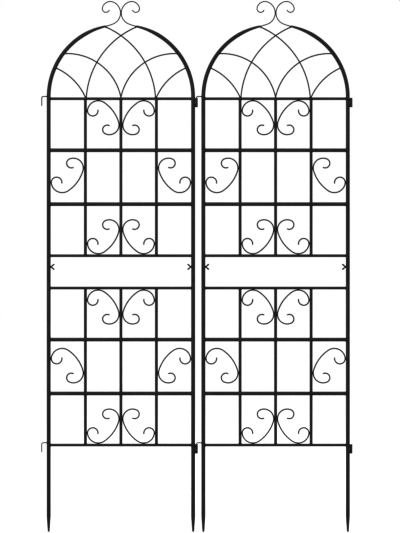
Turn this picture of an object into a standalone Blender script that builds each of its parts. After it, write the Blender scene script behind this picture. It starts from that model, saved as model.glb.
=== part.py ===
"""Pair of arched garden trellis panels, hooked side by side.

Each panel is a tubular arch on two spiked legs, with cross tubes, uprights,
wire scrolls, a fan of ribs under the arch and a wire finial. Hooks on the
left post of a panel drop into sleeves on the right post of its neighbour.
Metres, +Z up, +X along the panels. The origin is on the hook axis between
the two panels, level with the spike tips.
"""

import math

import bmesh
import bpy
import numpy as np

# Clearances
GAP = 0.0003
WELD_SINK = 0.0005

# Overall layout of one panel
PANEL_WIDTH = 0.502
LOWEST_RAIL_HEIGHT = 0.2933
END_ROW_HEIGHT = 0.1745
MIDDLE_ROW_HEIGHT = 0.1824
SECTION_GAP = 0.1094
SPRING_RISE = 0.0062
UPRIGHT_SHARE = 0.491616

# Posts and legs
POST_DIAMETER = 0.0130
POST_WALL = 0.0010
CROWN_OPENING = 0.1070
CROWN_WALL = 0.0012
CROWN_TAPER = 0.075
SEAM_ABOVE_RAIL = 0.020
INSERT_WALL = 0.0012
INSERT_ABOVE_SCREW = 0.018
INSERT_LEAD = 0.002
SPIKE_LENGTH = 0.052
SPIKE_TIP_DIAMETER = 0.0064
SPIKE_TIP_LENGTH = 0.0025

# Cross tubes and uprights
RAIL_DIAMETER = 0.0090
RAIL_WALL = 0.0009
BAR_WALL = 0.0011
BAR_SIDE_MATERIAL = 0.0011
UPRIGHT_DIAMETER = 0.0096
UPRIGHT_WALL = 0.0009

# Scrolls: radius and turn of each arc, from the small curl to the large one
SCROLL_WIRE = 0.0041
SCROLL_ARCS = (
    (0.0154, -186.0),
    (0.0328, -131.0),
    (0.1236, -38.5),
    (0.0364, -116.0),
    (0.0177, -200.0),
)
SCROLL_HEADING = 30.0
UPPER_SCROLL_RISE = 0.0062
LOWER_SCROLL_RISE = 0.0030

# Fan ribs under the arch: where they leave it, and how far each one turns
FAN_WIRE = 0.0041
CENTRE_RIB_ANGLE = 53.3
CENTRE_RIB_TURN = 82.7
CROSS_RIB_SETBACK = 0.002
CROSS_RIB_INSET = 0.003
CROSS_RIB_TURN = 63.6
CORNER_RIB_ANGLE = 66.0
CORNER_RIB_TURN = 43.2
RIB_LAY = 0.0014

# Finial: arcs from the crown to the end of the curl
FINIAL_WIRE = 0.0032
FINIAL_PLUG = 0.012
FINIAL_RISE = (0.180, 10.0)
FINIAL_ARCS = (
    (0.0400, 133.5),
    (0.0270, 103.5),
    (0.0123, 170.0),
)

# Hooks and sleeves
HOOK_WIRE = 0.0032
HOOK_BEND = 0.005
HOOK_REACH = 0.0234
HOOK_DROP = 0.032
SLEEVE_WALL = 0.0016
SLEEVE_PLAY = 0.0012
SLEEVE_LENGTH = 0.031
SLEEVE_TOP_ABOVE_RAIL = 0.0026

# Wing screws
SCREW_BELOW_RAIL = 0.0377
SCREW_DIAMETER = 0.005
SCREW_TIP_PAST_WALL = 0.003
HUB_DIAMETER = 0.0072
HUB_LENGTH = 0.0045
WING_REACH = 0.013
WING_SPAN = 0.019
WING_WIDTH = 0.0034
WING_THICKNESS = 0.0022
WING_ROOT = 0.0022

# Facets
POST_SIDES = 12
BAR_SIDES = 12
WIRE_SIDES = 6
SLEEVE_SIDES = 12
SAGITTA = 0.0012
ARCH_SAGITTA = 0.0007
CUT_MARGIN = 0.004

# Derived sizes
UPRIGHT_RADIUS = UPRIGHT_DIAMETER / 2
RAIL_RADIUS = max(RAIL_DIAMETER / 2, UPRIGHT_RADIUS - GAP)
BAR_RADIUS = UPRIGHT_RADIUS + GAP + BAR_SIDE_MATERIAL
POST_RADIUS = max(POST_DIAMETER / 2, BAR_RADIUS + GAP)
HALF_SPAN = PANEL_WIDTH / 2 - POST_RADIUS
UPRIGHT_SPACING = UPRIGHT_SHARE * HALF_SPAN
CROWN_BORE = FINIAL_WIRE / 2 + 2 * GAP
CROWN_RADIUS = CROWN_BORE + CROWN_WALL
HOOK_RADIUS = HOOK_WIRE / 2
SLEEVE_BORE = HOOK_RADIUS + SLEEVE_PLAY
SLEEVE_RADIUS = SLEEVE_BORE + SLEEVE_WALL
SLEEVE_OFFSET = POST_RADIUS + GAP + SLEEVE_RADIUS

BOTTOM_RAIL_Z = LOWEST_RAIL_HEIGHT
LOWER_BAR_LOW_Z = BOTTOM_RAIL_Z + END_ROW_HEIGHT
LOWER_BAR_HIGH_Z = LOWER_BAR_LOW_Z + MIDDLE_ROW_HEIGHT
LOWER_RAIL_Z = LOWER_BAR_HIGH_Z + END_ROW_HEIGHT
UPPER_RAIL_Z = LOWER_RAIL_Z + SECTION_GAP
UPPER_BAR_LOW_Z = UPPER_RAIL_Z + END_ROW_HEIGHT
UPPER_BAR_HIGH_Z = UPPER_BAR_LOW_Z + MIDDLE_ROW_HEIGHT
SPRING_RAIL_Z = UPPER_BAR_HIGH_Z + END_ROW_HEIGHT
SPRING_Z = SPRING_RAIL_Z + SPRING_RISE
SEAM_Z = LOWER_RAIL_Z + SEAM_ABOVE_RAIL
SCREW_Z = UPPER_RAIL_Z - SCREW_BELOW_RAIL
CROWN_ANGLE = math.degrees(math.asin(CROWN_OPENING / 2 / HALF_SPAN))

BLACK_COAT = ((0.012, 0.012, 0.013), 0.42, 0.0)
BLACK_ZINC = ((0.020, 0.020, 0.022), 0.38, 0.6)


# Paths in the XZ plane: rows of x, z and heading in radians


def straight(start, end):
    """Two path rows along a straight run."""
    start = np.asarray(start, float)
    end = np.asarray(end, float)
    heading = math.atan2(end[1] - start[1], end[0] - start[0])
    return np.array([[*start, heading], [*end, heading]])


def arc_points(start, heading, radius, turn, sagitta):
    """Path rows along one arc, with a row wherever it runs level or upright."""
    sign = 1.0 if turn > 0 else -1.0
    end = heading + turn
    quarter = math.pi / 2
    first = math.floor(min(heading, end) / quarter) + 1
    last = math.ceil(max(heading, end) / quarter) - 1
    corners = sorted((k * quarter for k in range(first, last + 1)), reverse=sign < 0)
    stops = [heading, *corners, end]
    step = 2 * math.acos(1 - sagitta / radius)
    headings = [heading]
    for low, high in zip(stops[:-1], stops[1:]):
        count = max(1, math.ceil(abs(high - low) / step))
        headings.extend(np.linspace(low, high, count + 1)[1:])
    h = np.array(headings)
    x = start[0] + sign * radius * (np.sin(h) - math.sin(heading))
    z = start[1] - sign * radius * (np.cos(h) - math.cos(heading))
    return np.column_stack([x, z, h])


def arc_chain(start, heading, arcs, sagitta):
    """Path rows along arcs that follow on from each other."""
    rows = [np.array([[start[0], start[1], heading]])]
    for radius, turn in arcs:
        last = rows[-1][-1]
        rows.append(arc_points(last[:2], last[2], radius, math.radians(turn), sagitta)[1:])
    return np.vstack(rows)


def arc_between(start, end, turn, sagitta):
    """Path rows along an arc that turns clockwise by a known angle."""
    chord = np.asarray(end, float) - np.asarray(start, float)
    half_turn = math.radians(turn) / 2
    radius = np.linalg.norm(chord) / 2 / math.sin(half_turn)
    heading = math.atan2(chord[1], chord[0]) + half_turn
    return arc_points(start, heading, radius, -2 * half_turn, sagitta)


def mirrored(path, side):
    """The path itself, or its mirror image across the YZ plane for side -1."""
    if side > 0:
        return path
    return path * [-1.0, 1.0, -1.0] + [0.0, 0.0, math.pi]


def join_paths(*paths):
    """One path from several, without the repeated rows where they meet."""
    rows = [paths[0]]
    for path in paths[1:]:
        rows.append(path[1:])
    return np.vstack(rows)


# Meshes


def section_rings(path, radii, sides, y=0.0):
    """One ring of points round each path row."""
    radii = np.broadcast_to(radii, len(path))
    turn = np.arange(sides) * 2 * math.pi / sides
    across = np.cos(turn)[None, :] * radii[:, None]
    depth = np.sin(turn)[None, :] * radii[:, None]
    x = path[:, 0, None] - np.sin(path[:, 2])[:, None] * across
    z = path[:, 1, None] + np.cos(path[:, 2])[:, None] * across
    return np.stack([x, y + depth, z], axis=2)


def skin_rings(name, rings, hollow=False):
    """Mesh over rings in order: capped at its ends, or closed on itself."""
    count, sides = rings.shape[:2]
    bm = bmesh.new()
    verts = [[bm.verts.new(point) for point in ring] for ring in rings]
    spans = count if hollow else count - 1
    for i in range(spans):
        here = verts[i]
        there = verts[(i + 1) % count]
        for k in range(sides):
            n = (k + 1) % sides
            bm.faces.new((here[k], here[n], there[n], there[k]))
    if not hollow:
        bm.faces.new(verts[0])
        bm.faces.new(verts[-1])
    bmesh.ops.recalc_face_normals(bm, faces=bm.faces)
    mesh = bpy.data.meshes.new(name)
    bm.to_mesh(mesh)
    bm.free()
    return mesh


def cope(rings, axis, reach, centre, side):
    """Move a ring along one axis until it sits round a round member."""
    depth = np.minimum(np.abs(rings[:, 1]), reach)
    rings[:, axis] = centre - side * np.sqrt(reach**2 - depth**2)


def combine(mesh, tools, operation):
    """Cut tool meshes from a mesh or join them to it, and return the result."""
    scene = bpy.context.scene
    target = bpy.data.objects.new("target", mesh)
    scene.collection.objects.link(target)
    cutters = []
    for tool in tools:
        cutter = bpy.data.objects.new("tool", tool)
        scene.collection.objects.link(cutter)
        cutters.append(cutter)
        modifier = target.modifiers.new("combine", "BOOLEAN")
        modifier.operation = operation
        modifier.solver = "EXACT"
        modifier.object = cutter
    depsgraph = bpy.context.evaluated_depsgraph_get()
    result = bpy.data.meshes.new_from_object(target.evaluated_get(depsgraph))
    for obj in [target, *cutters]:
        used = obj.data
        bpy.data.objects.remove(obj)
        bpy.data.meshes.remove(used)
    return result


# Materials and objects


def coating(name, finish):
    """A painted or plated surface."""
    colour, roughness, metallic = finish
    material = bpy.data.materials.new(name)
    material.use_nodes = True
    shader = material.node_tree.nodes["Principled BSDF"]
    shader.inputs["Base Color"].default_value = (*colour, 1.0)
    shader.inputs["Roughness"].default_value = roughness
    shader.inputs["Metallic"].default_value = metallic
    return material


def place(name, mesh, parent, location, finish=BLACK_COAT):
    """Put a copy of a mesh in the scene as a named piece."""
    own = mesh.copy()
    own.name = name
    own.materials.clear()
    own.materials.append(coating(name + "_coat", finish))
    own.shade_smooth()
    own.set_sharp_from_angle(angle=math.radians(50))
    obj = bpy.data.objects.new(name, own)
    bpy.context.scene.collection.objects.link(obj)
    obj.parent = parent
    obj.location = location
    return obj


def panel_frame(name, x):
    """The empty that carries a panel."""
    empty = bpy.data.objects.new(name, None)
    bpy.context.scene.collection.objects.link(empty)
    empty.location = (x, 0.0, 0.0)
    return empty


# Posts and legs, about the foot of the post's axis


def arch_path(side):
    """Centreline of an arch post from its seam to the crown."""
    rise = straight((-HALF_SPAN, SEAM_Z + GAP), (-HALF_SPAN, SPRING_Z))
    turn = math.radians(CROWN_ANGLE - 90)
    bend = arc_points((-HALF_SPAN, SPRING_Z), math.pi / 2, HALF_SPAN, turn, ARCH_SAGITTA)
    taper_turn = CROWN_TAPER / HALF_SPAN
    before = bend[bend[:, 2] > bend[-1, 2] + taper_turn]
    taper = arc_points(before[-1, :2], before[-1, 2], HALF_SPAN, bend[-1, 2] - before[-1, 2], ARCH_SAGITTA)
    return mirrored(join_paths(rise, before, taper), -side)


def arch_radii(path, full, end):
    """Radius along an arch post: full, then narrowing to the crown."""
    steps = np.linalg.norm(np.diff(path[:, :2], axis=0), axis=1)
    to_end = np.append(np.cumsum(steps[::-1])[::-1], 0.0)
    share = np.clip(to_end / CROWN_TAPER, 0.0, 1.0)
    return end + (full - end) * share


def arch_post(side):
    """Arch post: a tube with a screw hole and a narrowed crown end."""
    path = arch_path(side)
    outside = section_rings(path, arch_radii(path, POST_RADIUS, CROWN_RADIUS), POST_SIDES)
    bore = section_rings(path, arch_radii(path, POST_RADIUS - POST_WALL, CROWN_BORE), POST_SIDES)
    mesh = skin_rings("arch_post", np.vstack([outside, bore[::-1]]), hollow=True)
    return combine(mesh, [screw_hole(side)], "DIFFERENCE")


def screw_hole(side):
    """Cutter for the wing screw on the inner wall of a post."""
    start = side * HALF_SPAN
    path = straight((start, SCREW_Z), (start - side * (POST_RADIUS + CUT_MARGIN), SCREW_Z))
    return skin_rings("screw_hole", section_rings(path, hole_radius(SCREW_DIAMETER / 2), BAR_SIDES))


def hole_radius(radius):
    """Corner radius of a faceted hole that clears a round member."""
    return (radius + GAP) / math.cos(math.pi / BAR_SIDES)


def leg(side):
    """Leg: a spiked tube whose narrowed top enters the arch post."""
    x = side * HALF_SPAN
    insert = POST_RADIUS - POST_WALL - GAP
    top = SCREW_Z + INSERT_ABOVE_SCREW
    outline = (
        (0.0, SPIKE_TIP_DIAMETER / 2 - SPIKE_TIP_LENGTH / 2),
        (SPIKE_TIP_LENGTH, SPIKE_TIP_DIAMETER / 2),
        (SPIKE_LENGTH, POST_RADIUS),
        (SEAM_Z, POST_RADIUS),
        (SEAM_Z + GAP, insert),
        (top - INSERT_LEAD, insert),
        (top, insert - INSERT_LEAD / 4),
    )
    bore = (
        (top, insert - INSERT_WALL),
        (SEAM_Z - POST_WALL, insert - INSERT_WALL),
        (SEAM_Z - 4 * POST_WALL, POST_RADIUS - POST_WALL),
        (SPIKE_LENGTH, POST_RADIUS - POST_WALL),
        (SPIKE_TIP_LENGTH + POST_WALL, SPIKE_TIP_DIAMETER / 2 - POST_WALL),
    )
    profile = outline + bore
    path = np.array([[x, z, math.pi / 2] for z, _ in profile])
    radii = np.array([radius for _, radius in profile])
    mesh = skin_rings("leg", section_rings(path, radii, POST_SIDES))
    return combine(mesh, [screw_hole(side)], "DIFFERENCE")


# Cross tubes and uprights


def cross_tube(radius, wall, z):
    """Tube between the posts, its ends shaped round them."""
    ends = straight((-HALF_SPAN, z), (HALF_SPAN, z))
    outside = section_rings(ends, radius, BAR_SIDES)
    bore = section_rings(ends, radius - wall, BAR_SIDES)
    for rings in (outside, bore):
        cope(rings[0], 0, POST_RADIUS + GAP, -HALF_SPAN, -1)
        cope(rings[1], 0, POST_RADIUS + GAP, HALF_SPAN, 1)
    return skin_rings("cross_tube", np.vstack([outside, bore[::-1]]), hollow=True)


def pierced_tube(z):
    """Cross tube with a hole for each upright that passes through it."""
    cutters = []
    for step in (-1, 0, 1):
        x = step * UPRIGHT_SPACING
        path = straight((x, z - BAR_RADIUS - CUT_MARGIN), (x, z + BAR_RADIUS + CUT_MARGIN))
        cutters.append(skin_rings("pass_hole", section_rings(path, hole_radius(UPRIGHT_RADIUS), BAR_SIDES)))
    return combine(cross_tube(BAR_RADIUS, BAR_WALL, z), cutters, "DIFFERENCE")


def upright(x, low, high):
    """Tube from rail to rail, its ends shaped round them."""
    ends = straight((x, low), (x, high))
    outside = section_rings(ends, UPRIGHT_RADIUS, BAR_SIDES)
    bore = section_rings(ends, UPRIGHT_RADIUS - UPRIGHT_WALL, BAR_SIDES)
    for rings in (outside, bore):
        cope(rings[0], 2, RAIL_RADIUS + GAP, low, -1)
        cope(rings[1], 2, RAIL_RADIUS + GAP, high, 1)
    return skin_rings("upright", np.vstack([outside, bore[::-1]]), hollow=True)


# Scrolls


def scroll_path(left, right, room, side, large_up):
    """Scroll centreline that fills a width, and a height only if it is short."""
    path = arc_chain((0.0, 0.0), math.radians(SCROLL_HEADING), SCROLL_ARCS, SAGITTA)
    across = (right - left - SCROLL_WIRE) / np.ptp(path[:, 0])
    along = min(across, (room - SCROLL_WIRE) / np.ptp(path[:, 1]))
    path[:, 2] = np.arctan2(along * np.sin(path[:, 2]), across * np.cos(path[:, 2]))
    path *= [across, along, 1.0]
    path[:, 0] += left + SCROLL_WIRE / 2 - path[:, 0].min()
    path[:, 1] -= path[:, 1].max()
    if not large_up:
        path = path * [1.0, -1.0, -1.0]
    return mirrored(path, side)


def scroll_mesh(path):
    """Round wire bent along a scroll."""
    return skin_rings("scroll", section_rings(path, SCROLL_WIRE / 2, WIRE_SIDES))


def rail_scroll(side, rail_z, large_up):
    """Scroll beside the centre upright, its large curl against a rail."""
    left = UPRIGHT_RADIUS - WELD_SINK
    right = UPRIGHT_SPACING - UPRIGHT_RADIUS - GAP
    room = END_ROW_HEIGHT - RAIL_RADIUS - BAR_RADIUS - 2 * GAP
    path = scroll_path(left, right, room, side, large_up)
    reach = RAIL_RADIUS + GAP + SCROLL_WIRE / 2
    path[:, 1] += rail_z - reach if large_up else rail_z + reach
    return scroll_mesh(path)


def centre_scrollwork(low, high):
    """Centre upright with the four scrolls that are welded to it."""
    scrolls = [rail_scroll(side, high, True) for side in (-1, 1)]
    scrolls += [rail_scroll(side, low, False) for side in (-1, 1)]
    return combine(upright(0.0, low, high), scrolls, "UNION")


def outer_scroll(side, low, high, rise, large_up):
    """Scroll between an upright and a post, a little above mid height of its row."""
    left = UPRIGHT_SPACING + UPRIGHT_RADIUS + GAP
    right = HALF_SPAN - POST_RADIUS - GAP
    room = high - low - 2 * (BAR_RADIUS + GAP + rise)
    path = scroll_path(left, right, room, side, large_up)
    middle = (path[:, 1].min() + path[:, 1].max()) / 2
    path[:, 1] += (low + high) / 2 + rise - middle
    return scroll_mesh(path)


# Fan of ribs under the arch


def arch_point(angle):
    """Point on the left arch centreline, at an angle from upright."""
    turn = math.radians(angle)
    return np.array([-HALF_SPAN * math.sin(turn), SPRING_Z + HALF_SPAN * math.cos(turn)])


def distance_to_arch(points):
    """Clearance of points to the arch tube's surface."""
    path = arch_path(-1)
    radii = arch_radii(path, POST_RADIUS, CROWN_RADIUS)
    low = path[:-1, :2]
    run = path[1:, :2] - low
    flat = points[:, [0, 2]]
    share = ((flat[:, None] - low) * run).sum(axis=2) / (run**2).sum(axis=1)
    share = np.clip(share, 0.0, 1.0)
    nearest = low + share[:, :, None] * run
    away = np.linalg.norm(flat[:, None] - nearest, axis=2)
    surface = radii[:-1] + (radii[1:] - radii[:-1]) * share
    return (np.hypot(away, points[:, None, 1]) - surface).min(axis=1)


def rib_path(start, end, turn, y):
    """Rib centreline from the arch tube's surface down to the rail."""
    whole = arc_between(start, end, turn, SAGITTA / 20)
    rings = section_rings(whole, FAN_WIRE / 2, WIRE_SIDES, y)
    clear = np.array([distance_to_arch(ring).min() > GAP for ring in rings])
    first = len(clear) - np.argmin(clear[::-1])
    left = math.degrees(whole[first, 2] - whole[-1, 2])
    return arc_between(whole[first, :2], whole[-1, :2], left, SAGITTA)


def rib_mesh(start, end, turn, y, side):
    """Round rib, its foot cut level above the rail."""
    path = mirrored(rib_path(start, end, turn, y), side)
    rings = section_rings(path, FAN_WIRE / 2, WIRE_SIDES, y)
    rings[-1, :, 2] = end[1]
    return skin_rings("rib", rings)


def arch_fan():
    """Six ribs welded where they cross."""
    foot = SPRING_RAIL_Z + RAIL_RADIUS + GAP
    crown_angle = CROWN_ANGLE + math.degrees(CROSS_RIB_SETBACK / HALF_SPAN)
    ribs = []
    for side in (1, -1):
        cross = (arch_point(crown_angle), (UPRIGHT_SPACING - CROSS_RIB_INSET, foot), CROSS_RIB_TURN)
        ribs.append(rib_mesh(*cross, -side * RIB_LAY, side))
        centre = (arch_point(CENTRE_RIB_ANGLE), (0.0, foot), CENTRE_RIB_TURN)
        ribs.append(rib_mesh(*centre, 0.0, side))
    for side in (1, -1):
        corner = (arch_point(CORNER_RIB_ANGLE), (-UPRIGHT_SPACING, foot), CORNER_RIB_TURN)
        ribs.append(rib_mesh(*corner, side * RIB_LAY, side))
    return combine(ribs[0], ribs[1:], "UNION")


# Finial


def finial_path():
    """Left finial wire from inside the crown end to the end of its curl."""
    crown = arch_path(-1)[-1]
    back = crown[:2] - FINIAL_PLUG * np.array([math.cos(crown[2]), math.sin(crown[2])])
    plug = straight(back, crown[:2])
    rise = arc_chain(crown[:2], crown[2], (FINIAL_RISE,), SAGITTA)
    curl = arc_chain((0.0, 0.0), rise[-1, 2], FINIAL_ARCS, SAGITTA)
    run = -(FINIAL_WIRE / 2 - WELD_SINK / 2) - curl[:, 0].max() - rise[-1, 0]
    lead_end = rise[-1, :2] + run * np.array([1.0, math.tan(rise[-1, 2])])
    lead = straight(rise[-1, :2], lead_end)
    curl[:, :2] += lead_end
    return join_paths(plug, rise, lead, curl)


def finial():
    """Two mirrored wires welded where they touch."""
    path = finial_path()
    wires = []
    for side in (1, -1):
        rings = section_rings(mirrored(path, side), FINIAL_WIRE / 2, WIRE_SIDES)
        wires.append(skin_rings("finial_wire", rings))
    return combine(wires[0], wires[1:], "UNION")


# Hooks, sleeves and wing screws


def hook(rail_z):
    """Bent wire hook, about the post's axis and at the rail's height."""
    arm_z = rail_z + SLEEVE_TOP_ABOVE_RAIL + HOOK_BEND
    arm = straight((0.0, arm_z), (-(HOOK_REACH - HOOK_BEND), arm_z))
    bend = arc_points(arm[-1, :2], math.pi, HOOK_BEND, math.pi / 2, SAGITTA / 4)
    pin = straight(bend[-1, :2], (-HOOK_REACH, arm_z - HOOK_DROP))
    pin[:, 2] = bend[-1, 2]
    path = join_paths(arm, bend, pin)
    rings = section_rings(path, HOOK_RADIUS, WIRE_SIDES)
    cope(rings[0], 0, POST_RADIUS + GAP, 0.0, 1)
    return skin_rings("hook", rings)


def sleeve():
    """Short tube that takes a hook, about its own axis and from its top down."""
    path = straight((0.0, -SLEEVE_LENGTH), (0.0, 0.0))
    outside = section_rings(path, SLEEVE_RADIUS, SLEEVE_SIDES)
    bore = section_rings(path, SLEEVE_BORE, SLEEVE_SIDES)
    return skin_rings("sleeve", np.vstack([outside, bore[::-1]]), hollow=True)


def wing(side):
    """One ear of a wing screw."""
    tip = (WING_REACH - WING_WIDTH / 2, WING_SPAN / 2 - WING_WIDTH / 2)
    path = straight((WING_ROOT, 0.0), tip)
    path[:, 2] = math.atan2(tip[1], tip[0] - WING_ROOT)
    rings = section_rings(path, 1.0, 4)
    for ring, row in zip(rings, path):
        normal = np.array([-math.sin(row[2]), 0.0, math.cos(row[2])]) * WING_WIDTH / 2
        depth = np.array([0.0, WING_THICKNESS / 2, 0.0])
        centre = np.array([row[0], 0.0, row[1]])
        above = centre + normal
        below = centre - normal
        ring[:] = [above + depth, below + depth, below - depth, above - depth]
    rings[:, :, 2] *= side
    return skin_rings("wing", rings)


def wing_screw(side):
    """Wing screw about its own axis, from the post's surface towards the middle."""
    shank = POST_WALL + GAP + INSERT_WALL + SCREW_TIP_PAST_WALL
    profile = (
        (-shank - GAP, SCREW_DIAMETER / 2 - GAP),
        (-shank, SCREW_DIAMETER / 2),
        (GAP, SCREW_DIAMETER / 2),
        (GAP, HUB_DIAMETER / 2),
        (HUB_LENGTH, HUB_DIAMETER / 2),
        (HUB_LENGTH + GAP, HUB_DIAMETER / 2 - GAP),
    )
    path = np.array([[x, 0.0, 0.0] for x, _ in profile])
    radii = np.array([radius for _, radius in profile])
    body = skin_rings("screw_body", section_rings(path, radii, BAR_SIDES))
    mesh = combine(body, [wing(1), wing(-1)], "UNION")
    if side > 0:
        mesh.transform(np.diag([-1.0, -1.0, 1.0, 1.0]))
    return mesh


# Panels


def build_posts(panel, parent, x):
    """Arch posts, legs and wing screws."""
    for label, side in (("left", -1), ("right", 1)):
        place(f"{panel}_arch_post_{label}", arch_post(side), parent, (x, 0.0, 0.0))
        place(f"{panel}_leg_{label}", leg(side), parent, (x, 0.0, 0.0))
        screw_x = x + side * (HALF_SPAN - POST_RADIUS)
        place(f"{panel}_wing_screw_{label}", wing_screw(side), parent, (screw_x, 0.0, SCREW_Z), BLACK_ZINC)


def build_grid(panel, parent, x):
    """Cross tubes and outer uprights."""
    rails = {
        "spring_rail": SPRING_RAIL_Z,
        "upper_rail": UPPER_RAIL_Z,
        "lower_rail": LOWER_RAIL_Z,
        "bottom_rail": BOTTOM_RAIL_Z,
    }
    bars = {
        "upper_bar_high": UPPER_BAR_HIGH_Z,
        "upper_bar_low": UPPER_BAR_LOW_Z,
        "lower_bar_high": LOWER_BAR_HIGH_Z,
        "lower_bar_low": LOWER_BAR_LOW_Z,
    }
    for name, z in rails.items():
        place(f"{panel}_{name}", cross_tube(RAIL_RADIUS, RAIL_WALL, 0.0), parent, (x, 0.0, z))
    for name, z in bars.items():
        place(f"{panel}_{name}", pierced_tube(0.0), parent, (x, 0.0, z))
    for label, side in (("left", -1), ("right", 1)):
        post_x = x + side * UPRIGHT_SPACING
        upper = upright(0.0, 0.0, SPRING_RAIL_Z - UPPER_RAIL_Z)
        place(f"{panel}_upper_upright_{label}", upper, parent, (post_x, 0.0, UPPER_RAIL_Z))
        lower = upright(0.0, 0.0, LOWER_RAIL_Z - BOTTOM_RAIL_Z)
        place(f"{panel}_lower_upright_{label}", lower, parent, (post_x, 0.0, BOTTOM_RAIL_Z))


def build_ornament(panel, parent, x):
    """Scrolls, fan and finial."""
    upper = centre_scrollwork(0.0, SPRING_RAIL_Z - UPPER_RAIL_Z)
    place(f"{panel}_upper_centre_scrollwork", upper, parent, (x, 0.0, UPPER_RAIL_Z))
    lower = centre_scrollwork(0.0, LOWER_RAIL_Z - BOTTOM_RAIL_Z)
    place(f"{panel}_lower_centre_scrollwork", lower, parent, (x, 0.0, BOTTOM_RAIL_Z))
    for label, side in (("left", -1), ("right", 1)):
        upper = outer_scroll(side, UPPER_BAR_LOW_Z, UPPER_BAR_HIGH_Z, UPPER_SCROLL_RISE, False)
        place(f"{panel}_upper_outer_scroll_{label}", upper, parent, (x, 0.0, 0.0))
        lower = outer_scroll(side, LOWER_BAR_LOW_Z, LOWER_BAR_HIGH_Z, LOWER_SCROLL_RISE, True)
        place(f"{panel}_lower_outer_scroll_{label}", lower, parent, (x, 0.0, 0.0))
    place(f"{panel}_arch_fan", arch_fan(), parent, (x, 0.0, 0.0))
    place(f"{panel}_finial", finial(), parent, (x, 0.0, 0.0))


def build_couplers(panel, parent, x):
    """Hooks on the left post and sleeves on the right one."""
    for label, rail_z in (("top", SPRING_RAIL_Z), ("bottom", BOTTOM_RAIL_Z)):
        place(f"{panel}_{label}_hook", hook(0.0), parent, (x - HALF_SPAN, 0.0, rail_z))
        sleeve_x = x + HALF_SPAN + SLEEVE_OFFSET
        place(f"{panel}_{label}_sleeve", sleeve(), parent, (sleeve_x, 0.0, rail_z + SLEEVE_TOP_ABOVE_RAIL))


def build_panel(panel, x):
    """One whole panel, carried by an empty on the hook axis."""
    parent = panel_frame(panel, 0.0)
    build_posts(panel, parent, x)
    build_grid(panel, parent, x)
    build_ornament(panel, parent, x)
    build_couplers(panel, parent, x)


def main():
    """Clear the scene and build both panels."""
    for obj in list(bpy.data.objects):
        bpy.data.objects.remove(obj)
    build_panel("left_panel", -(HALF_SPAN + SLEEVE_OFFSET))
    build_panel("right_panel", HALF_SPAN + HOOK_REACH)


main()
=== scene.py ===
"""Looks of two arched garden trellis panels, hooked together side by side.

Fine tubes, bent wires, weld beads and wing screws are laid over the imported
parts. Every surface is worked out on a grid: a round section carried along
a centreline in an upright plane, a bead round the joint of two tubes, or a
rounded lump. Metres, +Z up, +X along the panels.
"""

import logging
import math
from dataclasses import dataclass, field, replace
from enum import Enum, IntEnum

import bpy
import numpy as np
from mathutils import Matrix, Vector

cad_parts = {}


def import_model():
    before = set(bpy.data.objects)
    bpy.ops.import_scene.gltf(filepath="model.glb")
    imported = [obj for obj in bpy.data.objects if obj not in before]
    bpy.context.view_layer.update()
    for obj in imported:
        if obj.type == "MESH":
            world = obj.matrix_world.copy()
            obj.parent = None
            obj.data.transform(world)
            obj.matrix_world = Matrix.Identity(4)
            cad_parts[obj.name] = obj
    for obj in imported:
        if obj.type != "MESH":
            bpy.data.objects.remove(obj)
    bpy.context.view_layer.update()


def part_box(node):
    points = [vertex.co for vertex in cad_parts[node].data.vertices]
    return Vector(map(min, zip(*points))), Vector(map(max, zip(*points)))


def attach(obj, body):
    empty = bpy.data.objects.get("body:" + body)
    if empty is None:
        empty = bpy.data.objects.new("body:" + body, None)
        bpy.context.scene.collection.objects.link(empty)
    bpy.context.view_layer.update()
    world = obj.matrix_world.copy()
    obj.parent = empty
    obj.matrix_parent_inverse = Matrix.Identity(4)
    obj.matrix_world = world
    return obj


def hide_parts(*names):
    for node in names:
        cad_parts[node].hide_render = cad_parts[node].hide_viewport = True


LOG = logging.getLogger("trellis")
QUARTER = math.pi / 2
FULL_TURN = 2 * math.pi
ALONG_X = np.array([1.0, 0.0, 0.0])
DEPTH = np.array([0.0, 1.0, 0.0])
UPWARDS = np.array([0.0, 0.0, 1.0])
EDGE_POINTS = 5

Place = tuple[float, float]
Pair = tuple[float, float]
Colour = tuple[float, float, float]
Sizes = tuple[float, float, float]
Point = tuple[float, float, float]
Node = bpy.types.Node
Socket = bpy.types.NodeSocket
Tree = bpy.types.NodeTree


class Side(Enum):
    """Which half of a panel a piece belongs to."""

    LEFT = -1
    RIGHT = 1

    @property
    def label(self) -> str:
        """The half's name in a piece's name."""
        return self.name.lower()


class Ends(Enum):
    """How a row of rings is closed."""

    POLES = "poles"
    LOOP = "loop"


class Seed(IntEnum):
    """First seed of each kind of weld. Small steps from it keep the welds of a kind from matching."""

    RAIL = 3
    BAR = 51
    RIM = 90
    UPRIGHT = 200
    TOP_SCROLL = 400
    FOOT_SCROLL = 500
    OUTER_SCROLL = 600
    CROSSING = 700
    ARCH_END = 800
    RAIL_END = 820
    CROWN = 900
    FINIAL_MIDDLE = 910
    HOOK_ROOT = 950
    SLEEVE = 960
    SCREW_RIM = 990


# Surfaces


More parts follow.
